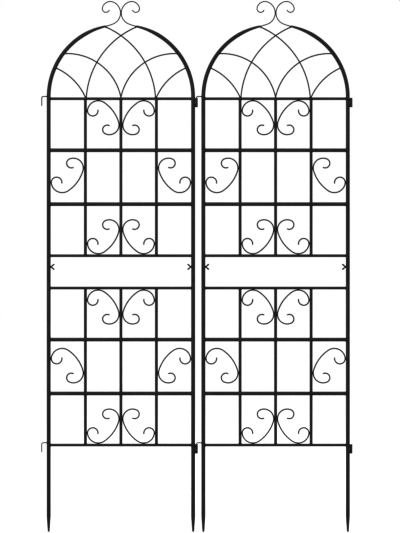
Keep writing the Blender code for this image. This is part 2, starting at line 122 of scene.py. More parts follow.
@dataclass(frozen=True)
class Surface:
    """A closed surface: points, four-sided and three-sided faces, and rubbing from 0 to 1."""

    points: np.ndarray
    quads: np.ndarray
    corners: np.ndarray
    rub: np.ndarray

    def facing_out(self) -> "Surface":
        """The surface with its faces turned outwards.

        The signed volume is the sum over triangles of a dot (b cross c),
        with a, b and c measured from one point. Below zero, every face is
        turned over.

        Returns:
            The surface, facing out.
        """
        fans = np.vstack([self.quads[:, [0, 1, 2]], self.quads[:, [0, 2, 3]], self.corners])
        a, b, c = (self.points[fans[:, k]] for k in range(3))
        volume = np.einsum("ij,ij->", a - self.points[0], np.cross(b - a, c - a))
        if volume >= 0:
            return self
        return replace(self, quads=self.quads[:, ::-1], corners=self.corners[:, ::-1])

    def within(self, half_depth: float) -> "Surface":
        """The surface pressed flat where it would stand deeper than the posts.

        Args:
            half_depth: Furthest that a point may lie from the middle plane.

        Returns:
            The pressed surface.
        """
        points = self.points.copy()
        points[:, 1] = np.clip(points[:, 1], -half_depth, half_depth)
        return replace(self, points=points)


def loft(rings: np.ndarray, ends: Ends, rub: np.ndarray | float = 0.0) -> Surface:
    """Faces between neighbouring rings of points.

    Args:
        rings: Points as rings by points in a ring by three.
        ends: Whether each end closes on a pole or the last ring meets the first.
        rub: Rubbing of each ring, or one value.

    Returns:
        The closed surface, facing out.
    """
    count, sides = rings.shape[:2]
    index = np.arange(count * sides).reshape(count, sides)
    beside = np.roll(index, -1, axis=1)
    rows = np.repeat(np.broadcast_to(np.asarray(rub, float), count), sides)
    points = rings.reshape(-1, 3)
    if ends is Ends.LOOP:
        ahead, ahead_beside = np.roll(index, -1, axis=0), np.roll(beside, -1, axis=0)
        quads = np.stack([index, ahead, ahead_beside, beside], axis=-1).reshape(-1, 4)
        return Surface(points, quads, np.empty((0, 3), int), rows).facing_out()
    quads = np.stack([index[:-1], index[1:], beside[1:], beside[:-1]], axis=-1).reshape(-1, 4)
    first = np.full(sides, count * sides)
    start = np.stack([first, index[0], beside[0]], axis=-1)
    finish = np.stack([first + 1, beside[-1], index[-1]], axis=-1)
    poles = rings[[0, -1]].mean(axis=1)
    rows = np.append(rows, [rows[0], rows[-1]])
    return Surface(np.vstack([points, poles]), quads, np.vstack([start, finish]), rows).facing_out()


def joined(surfaces: list[Surface]) -> Surface:
    """One surface from several, each keeping its own faces.

    Args:
        surfaces: The closed surfaces.

    Returns:
        A surface that holds them all.
    """
    shifts = np.cumsum([0] + [len(s.points) for s in surfaces[:-1]])
    return Surface(
        np.vstack([s.points for s in surfaces]),
        np.vstack([s.quads + k for s, k in zip(surfaces, shifts)]),
        np.vstack([s.corners + k for s, k in zip(surfaces, shifts)]),
        np.concatenate([s.rub for s in surfaces]),
    )


# Centrelines


@dataclass(frozen=True)
class Route:
    """Centreline in an upright plane: x, z and heading of its points, at depth y."""

    x: np.ndarray
    z: np.ndarray
    heading: np.ndarray
    y: float = 0.0

    def reach(self) -> np.ndarray:
        """Distance of each point from the start."""
        return np.append(0.0, np.cumsum(np.hypot(np.diff(self.x), np.diff(self.z))))

    def end(self) -> tuple[float, float, float]:
        """Place and heading of the last point."""
        return float(self.x[-1]), float(self.z[-1]), float(self.heading[-1])

    def at(self, distance: np.ndarray) -> tuple[np.ndarray, np.ndarray, np.ndarray]:
        """Centres, sideways directions and forward directions at some distances.

        Past an end, the route carries on straight along its heading.

        Args:
            distance: Distances from the start.

        Returns:
            Three arrays of points or unit vectors, a row for each distance.
        """
        reach = self.reach()
        turn = np.interp(distance, reach, self.heading)
        over = distance - np.clip(distance, 0.0, reach[-1])
        x = np.interp(distance, reach, self.x) + over * np.cos(turn)
        z = np.interp(distance, reach, self.z) + over * np.sin(turn)
        flat = np.zeros_like(turn)
        centre = np.stack([x, flat + self.y, z], axis=-1)
        across = np.stack([-np.sin(turn), flat, np.cos(turn)], axis=-1)
        along = np.stack([np.cos(turn), flat, np.sin(turn)], axis=-1)
        return centre, across, along

    def then(self, other: "Route") -> "Route":
        """This route followed by one that starts where it ends.

        Args:
            other: The route that follows, its heading the same but for whole turns.

        Returns:
            The two as one route.
        """
        turn = round((self.heading[-1] - other.heading[0]) / FULL_TURN) * FULL_TURN
        return Route(
            np.append(self.x, other.x[1:]),
            np.append(self.z, other.z[1:]),
            np.append(self.heading, other.heading[1:] + turn),
            self.y,
        )

    def moved(self, x: float, z: float = 0.0, y: float = 0.0) -> "Route":
        """The route carried to another place."""
        return Route(self.x + x, self.z + z, self.heading, self.y + y)

    def handed(self, side: Side) -> "Route":
        """The route as it is for the right half, or its mirror image across x = 0 for the left."""
        return self if side is Side.RIGHT else Route(-self.x, self.z, math.pi - self.heading, self.y)

    def upside_down(self) -> "Route":
        """The route turned over across z = 0."""
        return Route(self.x, -self.z, -self.heading, self.y)


def run(start: Place, end: Place) -> Route:
    """Straight route between two places."""
    heading = math.atan2(end[1] - start[1], end[0] - start[0])
    return Route(np.array([start[0], end[0]]), np.array([start[1], end[1]]), np.full(2, heading))


def bends(start: Place, heading: float, arcs: tuple[Pair, ...], step: float = 2.4) -> Route:
    """Route of arcs that follow on from each other.

    On an arc of radius r the heading h grows evenly, and the place is the
    start plus r times the change of (sin h, -cos h), with r below zero where
    the arc turns clockwise.

    Args:
        start: Place of the first point.
        heading: Heading there, in radians from +X towards +Z.
        arcs: Radius and turn in degrees of each arc.
        step: About how many degrees lie between points.

    Returns:
        The route.
    """
    x, z, h = [np.array([start[0]])], [np.array([start[1]])], [np.array([heading])]
    for radius, degrees in arcs:
        steps = max(2, round(abs(degrees) / step))
        turn = h[-1][-1] + math.radians(degrees) * np.arange(1, steps + 1) / steps
        signed = math.copysign(radius, degrees)
        x.append(x[-1][-1] + signed * (np.sin(turn) - math.sin(h[-1][-1])))
        z.append(z[-1][-1] - signed * (np.cos(turn) - math.cos(h[-1][-1])))
        h.append(turn)
    return Route(np.concatenate(x), np.concatenate(z), np.concatenate(h))


def bow(start: Place, end: Place, degrees: float, y: float) -> Route:
    """Route along one clockwise arc between two places.

    The radius is half the chord over the sine of half the turn.

    Args:
        start: Place of the first point.
        end: Place of the last point.
        degrees: How far the arc turns.
        y: Depth of the route.

    Returns:
        The route.
    """
    half = math.radians(degrees) / 2
    chord = np.subtract(end, start)
    radius = float(np.hypot(*chord)) / 2 / math.sin(half)
    heading = math.atan2(chord[1], chord[0]) + half
    return bends(start, heading, ((radius, -degrees),)).moved(0.0, 0.0, y)


def meeting_point(first: Route, second: Route) -> tuple[np.ndarray, float]:
    """Where two routes come closest, seen from the front.

    Args:
        first: One route.
        second: The other route.

    Returns:
        The place between them, and how far apart they are there.
    """
    apart = np.hypot(first.x[:, None] - second.x, first.z[:, None] - second.z)
    i, k = np.unravel_index(np.argmin(apart), apart.shape)
    place = np.array([first.x[i] + second.x[k], first.y + second.y, first.z[i] + second.z[k]]) / 2
    return place, float(apart[i, k])


# Shapes


def turned(route: Route, profile: np.ndarray, sides: int, flute: np.ndarray | float = 0.0,
           rub: np.ndarray | float = 0.0) -> Surface:
    """Round bar whose radius follows a profile along a route.

    A point is the centre plus r(s) times (cos a across + sin a depth). Flutes
    take the share flute(s) times the square of sin 2a off the radius.

    Args:
        route: Centreline.
        profile: Rows of distance along the route and radius.
        sides: Points in a ring.
        flute: Depth of four pressed flutes as a share of the radius, for each row.
        rub: Rubbing of each row.

    Returns:
        The closed surface.
    """
    centre, across, _ = route.at(profile[:, 0])
    angle = np.arange(sides) * FULL_TURN / sides
    radius = profile[:, 1, None] * (1 - np.reshape(flute, (-1, 1)) * np.sin(2 * angle) ** 2)
    section = np.cos(angle)[:, None] * across[:, None] + np.sin(angle)[:, None] * DEPTH
    return loft(centre[:, None] + radius[..., None] * section, Ends.POLES, rub)


def turned_over_edge(radius: float, lip: float) -> np.ndarray:
    """Edge of a tube turned over in a quarter circle.

    At angle a, the distance from the edge is the lip times one less sin a,
    and the radius is the full radius less the lip times one less cos a.

    Args:
        radius: Full radius.
        lip: Radius of the quarter circle.

    Returns:
        Rows of distance and radius, ending at the edge.
    """
    angle = np.linspace(0.0, QUARTER, EDGE_POINTS)
    return np.column_stack([lip * (1 - np.sin(angle)), radius - lip * (1 - np.cos(angle))])


def from_far_end(rows: np.ndarray, length: float) -> np.ndarray:
    """Rows of distance and radius, with the distance measured from the far end."""
    return np.column_stack([length - rows[:, 0], rows[:, 1]])


def wire(route: Route, radius: float, sides: int = 14, nose: float = 0.45, rubbed: float = 0.25) -> Surface:
    """Round wire with rounded-off ends.

    Within a nose of an end, the radius follows a quarter circle. Rubbing
    falls off from each end as exp(-distance / fade).

    Args:
        route: Centreline.
        radius: Radius of the wire.
        sides: Points in a ring.
        nose: Length of the rounding as a share of the radius.
        rubbed: Rubbing at the very end.

    Returns:
        The closed surface.
    """
    rub_fade, clear_of_nose = 0.004, 1.2
    inner = route.reach()
    total = inner[-1]
    turn = np.linspace(0.0, QUARTER, EDGE_POINTS)
    inset = radius * nose * (1 - np.cos(turn))
    narrow = radius * (1 - nose + nose * np.sin(turn))
    clear = inset[-1] * clear_of_nose
    inner = inner[(inner > clear) & (inner < total - clear)]
    distance = np.concatenate([inset, inner, total - inset[::-1]])
    radii = np.concatenate([narrow, np.full(len(inner), radius), narrow[::-1]])
    worn = rubbed * np.exp(-np.minimum(distance, total - distance) / rub_fade)
    return turned(route, np.column_stack([distance, radii]), sides, rub=worn)


def harmonics(angle: np.ndarray, seed: int) -> np.ndarray:
    """Uneven waviness of size about one.

    It is the sum of sin(n a + phase) over the square root of n, for n from 2
    to 6 and seeded phases, scaled down to about one.

    Args:
        angle: Angles to read it at.
        seed: Seed of the phases.

    Returns:
        A value for each angle.
    """
    source = np.random.default_rng(seed)
    waves = np.arange(2, 7)
    phase = source.uniform(0, FULL_TURN, len(waves))
    usual_height = 1.6
    return (np.sin(angle[..., None] * waves + phase) / np.sqrt(waves)).sum(axis=-1) / usual_height


def saddle_bead(centre: np.ndarray, branch: np.ndarray, radius: float, main: float, size: float, seed: int,
                ripple: float = 0.10) -> Surface:
    """Weld bead where a branch tube runs square into a larger tube.

    At angle a round the branch, the joint lies at the branch radius in the
    directions (cos a main, sin a depth), and out along the branch by the
    square root of main radius squared less depth squared. A small round
    section is carried round that line, and it swells in even ripples.

    Args:
        centre: Point on the main tube's axis that the branch aims at.
        branch: Unit vector from there along the branch.
        radius: Branch radius.
        main: Main tube's radius.
        size: Half thickness of the bead.
        seed: Seed of its unevenness.
        ripple: Height of the ripples as a share of the size.

    Returns:
        The closed bead.
    """
    around, section_sides, fewest_ripples = 52, 8, 10
    ripple_pitch, unevenness, rubbing = 1.15, 0.10, 0.12
    axis = np.cross(DEPTH, branch)
    angle = np.arange(around) * FULL_TURN / around
    outward = np.cos(angle)[:, None] * axis + np.sin(angle)[:, None] * DEPTH
    climb = np.sqrt(np.maximum(main**2 - (radius * np.sin(angle)) ** 2, 0.0))
    line = centre + radius * outward + climb[:, None] * branch
    count = max(fewest_ripples, round(FULL_TURN * radius / (ripple_pitch * size)))
    swell = size * (1 + ripple * np.cos(count * angle) + unevenness * harmonics(angle, seed))
    section = np.arange(section_sides) * FULL_TURN / section_sides
    rings = line[:, None] + swell[:, None, None] * (
        np.cos(section)[:, None] * outward[:, None] + np.sin(section)[:, None] * branch
    )
    return loft(rings, Ends.LOOP, rubbing)


def lump(centre: np.ndarray, along: np.ndarray, sizes: Sizes, seed: int) -> Surface:
    """Tack weld: a rounded lump with an uneven skin.

    An ellipsoid is read at polar angle p and turn a. Its radius swells by a
    few seeded waves round it, and by ripples that run across its length.

    Args:
        centre: Middle of the lump.
        along: Unit vector of its length, in the XZ plane.
        sizes: Half sizes along, sideways and in depth.
        seed: Seed of its unevenness.

    Returns:
        The closed lump.
    """
    unevenness, ripple, ripples, rubbing = 0.06, 0.04, 7, 0.10
    rows, sides = 15, 16
    side = np.cross(DEPTH, along)
    polar = np.linspace(0, math.pi, rows)[1:-1]
    turn = np.arange(sides) * FULL_TURN / sides
    waves = unevenness * harmonics(turn, seed)[None, :] + ripple * np.cos(ripples * polar)[:, None]
    swell = (1 + waves * np.sin(polar)[:, None]) * np.sin(polar)[:, None]
    rings = centre + (
        (sizes[0] * np.cos(polar)[:, None] * np.ones_like(turn))[..., None] * along
        + (sizes[1] * swell * np.cos(turn))[..., None] * side
        + (sizes[2] * swell * np.sin(turn))[..., None] * DEPTH
    )
    return loft(rings, Ends.POLES, rubbing)


# Finishes


def new_group(name: str, inputs: dict[str, float | None],
              outputs: tuple[str, ...]) -> tuple[Tree, Node, Node]:
    """An empty node group whose inputs are a vector and numbers.

    Args:
        name: Name of the group.
        inputs: Starting value of each number, or None for a vector.
        outputs: Names of the numbers it gives.

    Returns:
        The group, its input node and its output node.
    """
    group = bpy.data.node_groups.new(name, "ShaderNodeTree")
    for label, value in inputs.items():
        kind = "NodeSocketVector" if value is None else "NodeSocketFloat"
        made = group.interface.new_socket(name=label, in_out="INPUT", socket_type=kind)
        if value is not None:
            made.default_value = value
    for label in outputs:
        group.interface.new_socket(name=label, in_out="OUTPUT", socket_type="NodeSocketFloat")
    return group, group.nodes.new("NodeGroupInput"), group.nodes.new("NodeGroupOutput")


def feed(tree: Tree, slot: Socket, value: Socket | float | tuple[float, ...]) -> None:
    """Link a socket to an input, or set the input to a number, vector or colour.

    Args:
        tree: Tree that both are in.
        slot: Input socket.
        value: Output socket or plain value.
    """
    if isinstance(value, bpy.types.NodeSocket):
        tree.links.new(value, slot)
    else:
        slot.default_value = value


def maths(tree: Tree, operation: str, *values: Socket | float, clamp: bool = False) -> Socket:
    """Result of a Math node.

    Args:
        tree: Tree that holds the node.
        operation: Its operation.
        values: Sockets or numbers for its inputs, in order.
        clamp: Whether the result is kept between 0 and 1.

    Returns:
        The node's output.
    """
    node = tree.nodes.new("ShaderNodeMath")
    node.operation = operation
    node.use_clamp = clamp
    for slot, value in zip(node.inputs, values):
        feed(tree, slot, value)
    return node.outputs[0]


def noise(tree: Tree, vector: Socket, scale: Socket | float, detail: float,
          roughness: float = 0.5) -> Socket:
    """Value of a Noise texture.

    Args:
        tree: Tree that holds the node.
        vector: Where it is read.
        scale: How fine it is.
        detail: Number of octaves.
        roughness: Share of the finer octaves.

    Returns:
        The node's value, from 0 to 1.
    """
    node = tree.nodes.new("ShaderNodeTexNoise")
    for label, value in (("Vector", vector), ("Scale", scale), ("Detail", detail), ("Roughness", roughness)):
        feed(tree, node.inputs[label], value)
    return node.outputs["Fac"]


def ramp(tree: Tree, value: Socket, low: Socket | float, high: Socket | float) -> Socket:
    """Smooth step from 0 at one value to 1 at another.

    Args:
        tree: Tree that holds the node.
        value: Value to read.
        low: Value that gives 0.
        high: Value that gives 1.

    Returns:
        The step.
    """
    node = tree.nodes.new("ShaderNodeMapRange")
    node.interpolation_type = "SMOOTHSTEP"
    for label, given in (("Value", value), ("From Min", low), ("From Max", high)):
        feed(tree, node.inputs[label], given)
    return node.outputs["Result"]


def blend(tree: Tree, share: Socket, first: Socket | Colour, second: Socket | Colour) -> Socket:
    """Colour between two colours.

    Args:
        tree: Tree that holds the node.
        share: Share of the second colour.
        first: Colour or socket at share 0.
        second: Colour or socket at share 1.

    Returns:
        The blended colour.
    """
    first_colour, second_colour, result = 6, 7, 2
    node = tree.nodes.new("ShaderNodeMix")
    node.data_type = "RGBA"
    feed(tree, node.inputs["Factor"], share)
    for place, value in ((first_colour, first), (second_colour, second)):
        feed(tree, node.inputs[place], (*value, 1.0) if isinstance(value, tuple) else value)
    return node.outputs[result]


@dataclass(frozen=True)
class Effects:
    """Node groups that the finishes share."""

    grain: Tree
    mottle: Tree
    rubbing: Tree
    dust: Tree


def coat_grain() -> Tree:
    """Skin of a cured powder coat: shallow dimples, a fine sand-like grain and odd nibs.

    Returns:
        The group, which gives a height and the change of sheen.
    """
    nib_scale, nib_edge, nib_top, nib_height = 95.0, 0.09, 0.03, 0.8
    dimple_detail, sand_detail, middle = 1.5, 1.0, 0.5
    inputs = {"Vector": None, "Dimple Scale": 620.0, "Sand Scale": 2600.0, "Sand": 0.35}
    group, given, out = new_group("coat_grain", inputs, ("Height", "Sheen"))
    dimples = noise(group, given.outputs["Vector"], given.outputs["Dimple Scale"], dimple_detail)
    sand = noise(group, given.outputs["Vector"], given.outputs["Sand Scale"], sand_detail)
    cells = group.nodes.new("ShaderNodeTexVoronoi")
    group.links.new(given.outputs["Vector"], cells.inputs["Vector"])
    cells.inputs["Scale"].default_value = nib_scale
    nibs = maths(group, "MULTIPLY", ramp(group, cells.outputs["Distance"], nib_edge, nib_top), nib_height)
    skin = maths(group, "ADD", dimples, maths(group, "MULTIPLY", sand, given.outputs["Sand"]))
    group.links.new(maths(group, "ADD", skin, nibs), out.inputs["Height"])
    group.links.new(maths(group, "SUBTRACT", sand, middle), out.inputs["Sheen"])
    return group


def coat_mottle() -> Tree:
    """Slow changes of film thickness and the marks of handling, from 0 to 1.

    Returns:
        The group, which gives clouds and smears.
    """
    smear_stretch, smear_detail, smear_edges = (150.0, 150.0, 22.0), 2.0, (0.52, 0.74)
    cloud_detail, cloud_roughness, cloud_edges = 3.0, 0.6, (0.35, 0.68)
    group, given, out = new_group("coat_mottle", {"Vector": None, "Cloud Scale": 9.0}, ("Clouds", "Smears"))
    clouds = noise(group, given.outputs["Vector"], given.outputs["Cloud Scale"], cloud_detail,
                   cloud_roughness)
    stretch = group.nodes.new("ShaderNodeMapping")
    stretch.inputs["Scale"].default_value = smear_stretch
    group.links.new(given.outputs["Vector"], stretch.inputs["Vector"])
    smears = noise(group, stretch.outputs["Vector"], 1.0, smear_detail)
    group.links.new(ramp(group, clouds, *cloud_edges), out.inputs["Clouds"])
    group.links.new(ramp(group, smears, *smear_edges), out.inputs["Smears"])
    return group


def edge_rubbing() -> Tree:
    """Bare or polished metal: ragged patches that grow with the rubbing of the place.

    Returns:
        The group, which gives a mask of bare metal and a measure of polish.
    """
    patch_scale, patch_detail, patch_roughness = 340.0, 4.0, 0.65
    unrubbed_level, growth = 0.93, 0.46
    inputs = {"Vector": None, "Rub": 0.0, "Softness": 0.05}
    group, given, out = new_group("edge_rubbing", inputs, ("Mask", "Polish"))
    patches = noise(group, given.outputs["Vector"], patch_scale, patch_detail, patch_roughness)
    level = maths(group, "SUBTRACT", unrubbed_level, maths(group, "MULTIPLY", given.outputs["Rub"], growth))
    edge = maths(group, "ADD", level, given.outputs["Softness"])
    group.links.new(ramp(group, patches, level, edge), out.inputs["Mask"])
    group.links.new(maths(group, "MULTIPLY", given.outputs["Rub"], patches, clamp=True), out.inputs["Polish"])
    return group


def settled_dust() -> Tree:
    """Thin dust film that lies where the surface looks up.

    Returns:
        The group, which gives the film's mask.
    """
    film_scale, film_detail, film_roughness, film_edges = 70.0, 5.0, 0.7, (0.38, 0.78)
    facing_up = (0.25, 1.0)
    group, given, out = new_group("settled_dust", {"Vector": None, "Amount": 0.3}, ("Mask",))
    facing = group.nodes.new("ShaderNodeNewGeometry")
    split = group.nodes.new("ShaderNodeSeparateXYZ")
    group.links.new(facing.outputs["Normal"], split.inputs["Vector"])
    upward = ramp(group, split.outputs["Z"], *facing_up)
    patches = noise(group, given.outputs["Vector"], film_scale, film_detail, film_roughness)
    film = ramp(group, patches, *film_edges)
    mask = maths(group, "MULTIPLY", maths(group, "MULTIPLY", upward, film), given.outputs["Amount"])
    group.links.new(mask, out.inputs["Mask"])
    return group


@dataclass(frozen=True)
class Coat:
    """A finish over metal: colours, gloss and how strongly each effect shows."""

    name: str
    slot: str
    deep: Colour = (0.0210, 0.0210, 0.0205)
    thin: Colour = (0.0310, 0.0308, 0.0300)
    metal: Colour = (0.16, 0.155, 0.15)
    dust: Colour = (0.115, 0.108, 0.098)
    roughness: float = 0.43
    metallic: float = 0.0
    specular: float = 0.54
    dimple_scale: float = 620.0
    bump_strength: float = 0.22
    bump_depth: float = 0.00022
    dust_amount: float = 0.10
    grain_sheen: float = 0.16
    smear_dulling: float = 0.06
    polish_gloss: float = 0.16
    dust_dulling: float = 0.5
    bare_step: float = 0.7

    def material(self, effects: Effects) -> bpy.types.Material:
        """The finish as a material.

        Args:
            effects: The shared node groups.

        Returns:
            The new material.
        """
        made = bpy.data.materials.new(self.name)
        made.use_nodes = True
        tree = made.node_tree
        shader = tree.nodes["Principled BSDF"]
        shader.inputs["Specular IOR Level"].default_value = self.specular
        place = tree.nodes.new("ShaderNodeTexCoord").outputs["Object"]
        rubbed = tree.nodes.new("ShaderNodeAttribute")
        rubbed.attribute_name = "rub"
        grain = self.effect(tree, effects.grain, place)
        grain.inputs["Dimple Scale"].default_value = self.dimple_scale
        mottle = self.effect(tree, effects.mottle, place)
        worn = self.effect(tree, effects.rubbing, place)
        tree.links.new(rubbed.outputs["Fac"], worn.inputs["Rub"])
        dust = self.effect(tree, effects.dust, place)
        dust.inputs["Amount"].default_value = self.dust_amount

        film = blend(tree, mottle.outputs["Clouds"], self.deep, self.thin)
        dusty = blend(tree, dust.outputs["Mask"], film, self.dust)
        colour = blend(tree, worn.outputs["Mask"], dusty, self.metal)
        tree.links.new(colour, shader.inputs["Base Color"])

        gloss = maths(tree, "MULTIPLY_ADD", grain.outputs["Sheen"], self.grain_sheen, self.roughness)
        gloss = maths(tree, "MULTIPLY_ADD", mottle.outputs["Smears"], self.smear_dulling, gloss)
        gloss = maths(tree, "MULTIPLY_ADD", worn.outputs["Polish"], -self.polish_gloss, gloss)
        gloss = maths(tree, "MULTIPLY_ADD", dust.outputs["Mask"], self.dust_dulling, gloss, clamp=True)
        tree.links.new(gloss, shader.inputs["Roughness"])
        bare = maths(tree, "MAXIMUM", worn.outputs["Mask"], self.metallic)
        tree.links.new(bare, shader.inputs["Metallic"])

        bump = tree.nodes.new("ShaderNodeBump")
        bump.inputs["Strength"].default_value = self.bump_strength
        bump.inputs["Distance"].default_value = self.bump_depth
        height = maths(tree, "MULTIPLY_ADD", worn.outputs["Mask"], -self.bare_step, grain.outputs["Height"])
        tree.links.new(height, bump.inputs["Height"])
        tree.links.new(bump.outputs["Normal"], shader.inputs["Normal"])
        return made

    @staticmethod
    def effect(tree: Tree, group: Tree, place: Socket) -> Node:
        """A shared effect placed in a material.

        Args:
            tree: The material's tree.
            group: The effect.
            place: Where it is read.

        Returns:
            The group's node.
        """
        node = tree.nodes.new("ShaderNodeGroup")
        node.node_tree = group
        tree.links.new(place, node.inputs["Vector"])
        return node


TUBE_COAT = Coat("satin_black_on_tube", "tube_powder_coat")
WIRE_COAT = Coat(
    "satin_black_on_wire", "wire_powder_coat", roughness=0.40, dimple_scale=760.0, bump_strength=0.18,
)
WELD_COAT = Coat(
    "satin_black_over_weld", "tube_powder_coat", roughness=0.47, dimple_scale=430.0, bump_strength=0.34,
    bump_depth=0.0003,
)
SCREW_FINISH = Coat(
    "black_zinc", "screw_black_zinc", deep=(0.030, 0.031, 0.034), thin=(0.050, 0.052, 0.058), roughness=0.36,
    metallic=0.75, specular=0.5, bump_strength=0.15, dust_amount=0.06,
)


def placed(name: str, data: bpy.types.ID) -> bpy.types.Object:
    """A new object in the scene.

    Args:
        name: Its name.
        data: The mesh, light or camera that it shows.

    Returns:
        The object.
    """
    made = bpy.data.objects.new(name, data)
    bpy.context.scene.collection.objects.link(made)
    return made


@dataclass
class Workshop:
    """Turns surfaces into finished pieces on their bodies."""

    effects: Effects
    sharp_edge: float = 48.0
    made: dict[str, bpy.types.Material] = field(default_factory=dict)

    def finish(self, coat: Coat) -> bpy.types.Material:
        """The finish's material, made once.

        Args:
            coat: The finish.

        Returns:
            Its material.
        """
        if coat.name not in self.made:
            self.made[coat.name] = coat.material(self.effects)
        return self.made[coat.name]

    def piece(self, name: str, surfaces: list[Surface], coat: Coat, body: str, stands_for: str = "") -> None:
        """Make one named piece.

        Args:
            name: Name of the piece.
            surfaces: Closed surfaces that form it.
            coat: Its finish.
            body: Body that it moves with.
            stands_for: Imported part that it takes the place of, if any.
        """
        whole = joined(surfaces)
        mesh = bpy.data.meshes.new(name)
        mesh.from_pydata(whole.points.tolist(), [], whole.quads.tolist() + whole.corners.tolist())
        rub = mesh.attributes.new("rub", "FLOAT", "POINT")
        rub.data.foreach_set("value", whole.rub.astype(np.float32))
        mesh.materials.append(self.finish(coat))
        mesh.shade_smooth()
        mesh.set_sharp_from_angle(angle=math.radians(self.sharp_edge))
        made = placed(name, mesh)
        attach(made, body)
        if stands_for:
            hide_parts(stands_for)
        LOG.info("%s: %d faces, on %s", name, len(mesh.polygons), body)


# Layout


@dataclass(frozen=True)
class Layout:
    """Where a panel's members lie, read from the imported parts."""

    panel: str
    middle: float
    half_span: float
    post: float
    rail: float
    bar: float
    upright: float
    upright_step: float
    seam: float
    spring: float
    heights: dict[str, float]

    @classmethod
    def read(cls, panel: str, spring_rise: float = 0.0062) -> "Layout":
        """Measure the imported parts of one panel.

        Args:
            panel: The panel's name.
            spring_rise: How far above the spring rail the arch begins.

        Returns:
            The panel's layout.
        """
        def span(name: str, axis: int) -> tuple[float, float]:
            """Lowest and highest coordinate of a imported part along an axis."""
            low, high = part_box(f"{panel}_{name}")
            return low[axis], high[axis]

        left, right = span("leg_left", 0), span("leg_right", 0)
        upright = span("upper_upright_right", 0)
        rail, bar = span("spring_rail", 2), span("upper_bar_high", 2)
        names = [f"{row}_{kind}" for row in ("upper", "lower") for kind in ("rail", "bar_high", "bar_low")]
        heights = {name: sum(span(name, 2)) / 2 for name in (*names, "spring_rail", "bottom_rail")}
        middle = (sum(left) + sum(right)) / 4
        return cls(
            panel=panel,
            middle=middle,
            half_span=(sum(right) - sum(left)) / 4,
            post=(right[1] - right[0]) / 2,
            rail=(rail[1] - rail[0]) / 2,
            bar=(bar[1] - bar[0]) / 2,
            upright=(upright[1] - upright[0]) / 2,
            upright_step=sum(upright) / 2 - middle,
            seam=span("arch_post_left", 2)[0],
            spring=heights["spring_rail"] + spring_rise,
            heights=heights,
        )

    def node(self, name: str) -> str:
        """Full name of one of the panel's parts or pieces."""
        return f"{self.panel}_{name}"


# Each section of uprights: its name, the rail below it and the rail above it.
SECTIONS = (("upper", "upper_rail", "spring_rail"), ("lower", "bottom_rail", "lower_rail"))


@dataclass
class Legs:
    """Spiked legs: a blunt pressed tip, a fluted taper, the full tube, and a narrowed top inside the arch.

    The tip's rows are height and radius. The insert's lead is its length and
    how much it narrows, and the lip's shoulder is in shares of the lip.
    """

    layout: Layout
    tip: tuple[Pair, ...] = (
        (0.0, 0.0009), (0.0002, 0.0016), (0.0008, 0.0022), (0.0016, 0.0027), (0.0026, 0.0031),
    )
    taper_start: float = 0.0042
    taper_rows: int = 22
    spike: float = 0.052
    spike_tip: float = 0.0032
    shoulders: Pair = (0.0540, 0.060)
    insert_inset: float = 0.0013
    insert_lead: Pair = (0.0020, 0.0005)
    lip: float = 0.0005
    lip_shoulder: Pair = (0.3, 0.2)
    seam_step: float = 0.0001
    seam_gap: float = 0.0003
    flute: float = 0.16
    flute_length: float = 0.046
    flute_start: float = 0.003
    flute_fade: float = 0.6
    rub: float = 0.6
    tip_rub_fade: float = 0.012
    seam_rub_fade: float = 0.0012
    sides: int = 36

    def profile(self, seam: float, top: float) -> np.ndarray:
        """Rows of height and radius from the tip to the top.

        Between the tip and the full tube the radius grows evenly with height.

        Args:
            seam: Height of the seam.
            top: Height of the insert's end.

        Returns:
            The rows.
        """
        full, insert = self.layout.post, self.layout.post - self.insert_inset
        rise, tip_end = np.linspace(self.taper_start, self.spike, self.taper_rows), self.tip[-1][0]
        share = (rise - tip_end) / (self.spike - tip_end)
        taper = np.column_stack([rise, self.spike_tip + (full - self.spike_tip) * share])
        upper = [
            *((height, full) for height in (*self.shoulders, seam / 2, seam - self.lip)),
            (seam - self.lip * self.lip_shoulder[0], full - self.lip * self.lip_shoulder[1]),
            (seam, full - self.lip),
            (seam + self.seam_step, insert),
            (top - self.insert_lead[0], insert),
            (top, insert - self.insert_lead[1]),
        ]
        return np.vstack([self.tip, taper, upper])

    def leg(self, side: Side) -> Surface:
        """One leg, its flutes fading out along the spike, rubbed at its tip and at the seam.

        Args:
            side: Which half of the panel it stands in.

        Returns:
            The closed surface.
        """
        low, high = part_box(self.layout.node(f"leg_{side.label}"))
        x = side.value * self.layout.half_span
        seam = self.layout.seam - self.seam_gap - low[2]
        rows = self.profile(seam, high[2] - low[2])
        height = rows[:, 0]
        fade = np.clip(1 - height / self.flute_length, 0, 1) ** self.flute_fade
        flute = self.flute * fade * np.clip(height / self.flute_start, 0, 1)
        near = np.minimum(height / self.tip_rub_fade, np.abs(height - seam) / self.seam_rub_fade)
        route = run((x, low[2]), (x, high[2])).moved(self.layout.middle)
        return turned(route, rows, self.sides, flute, self.rub * np.exp(-near))


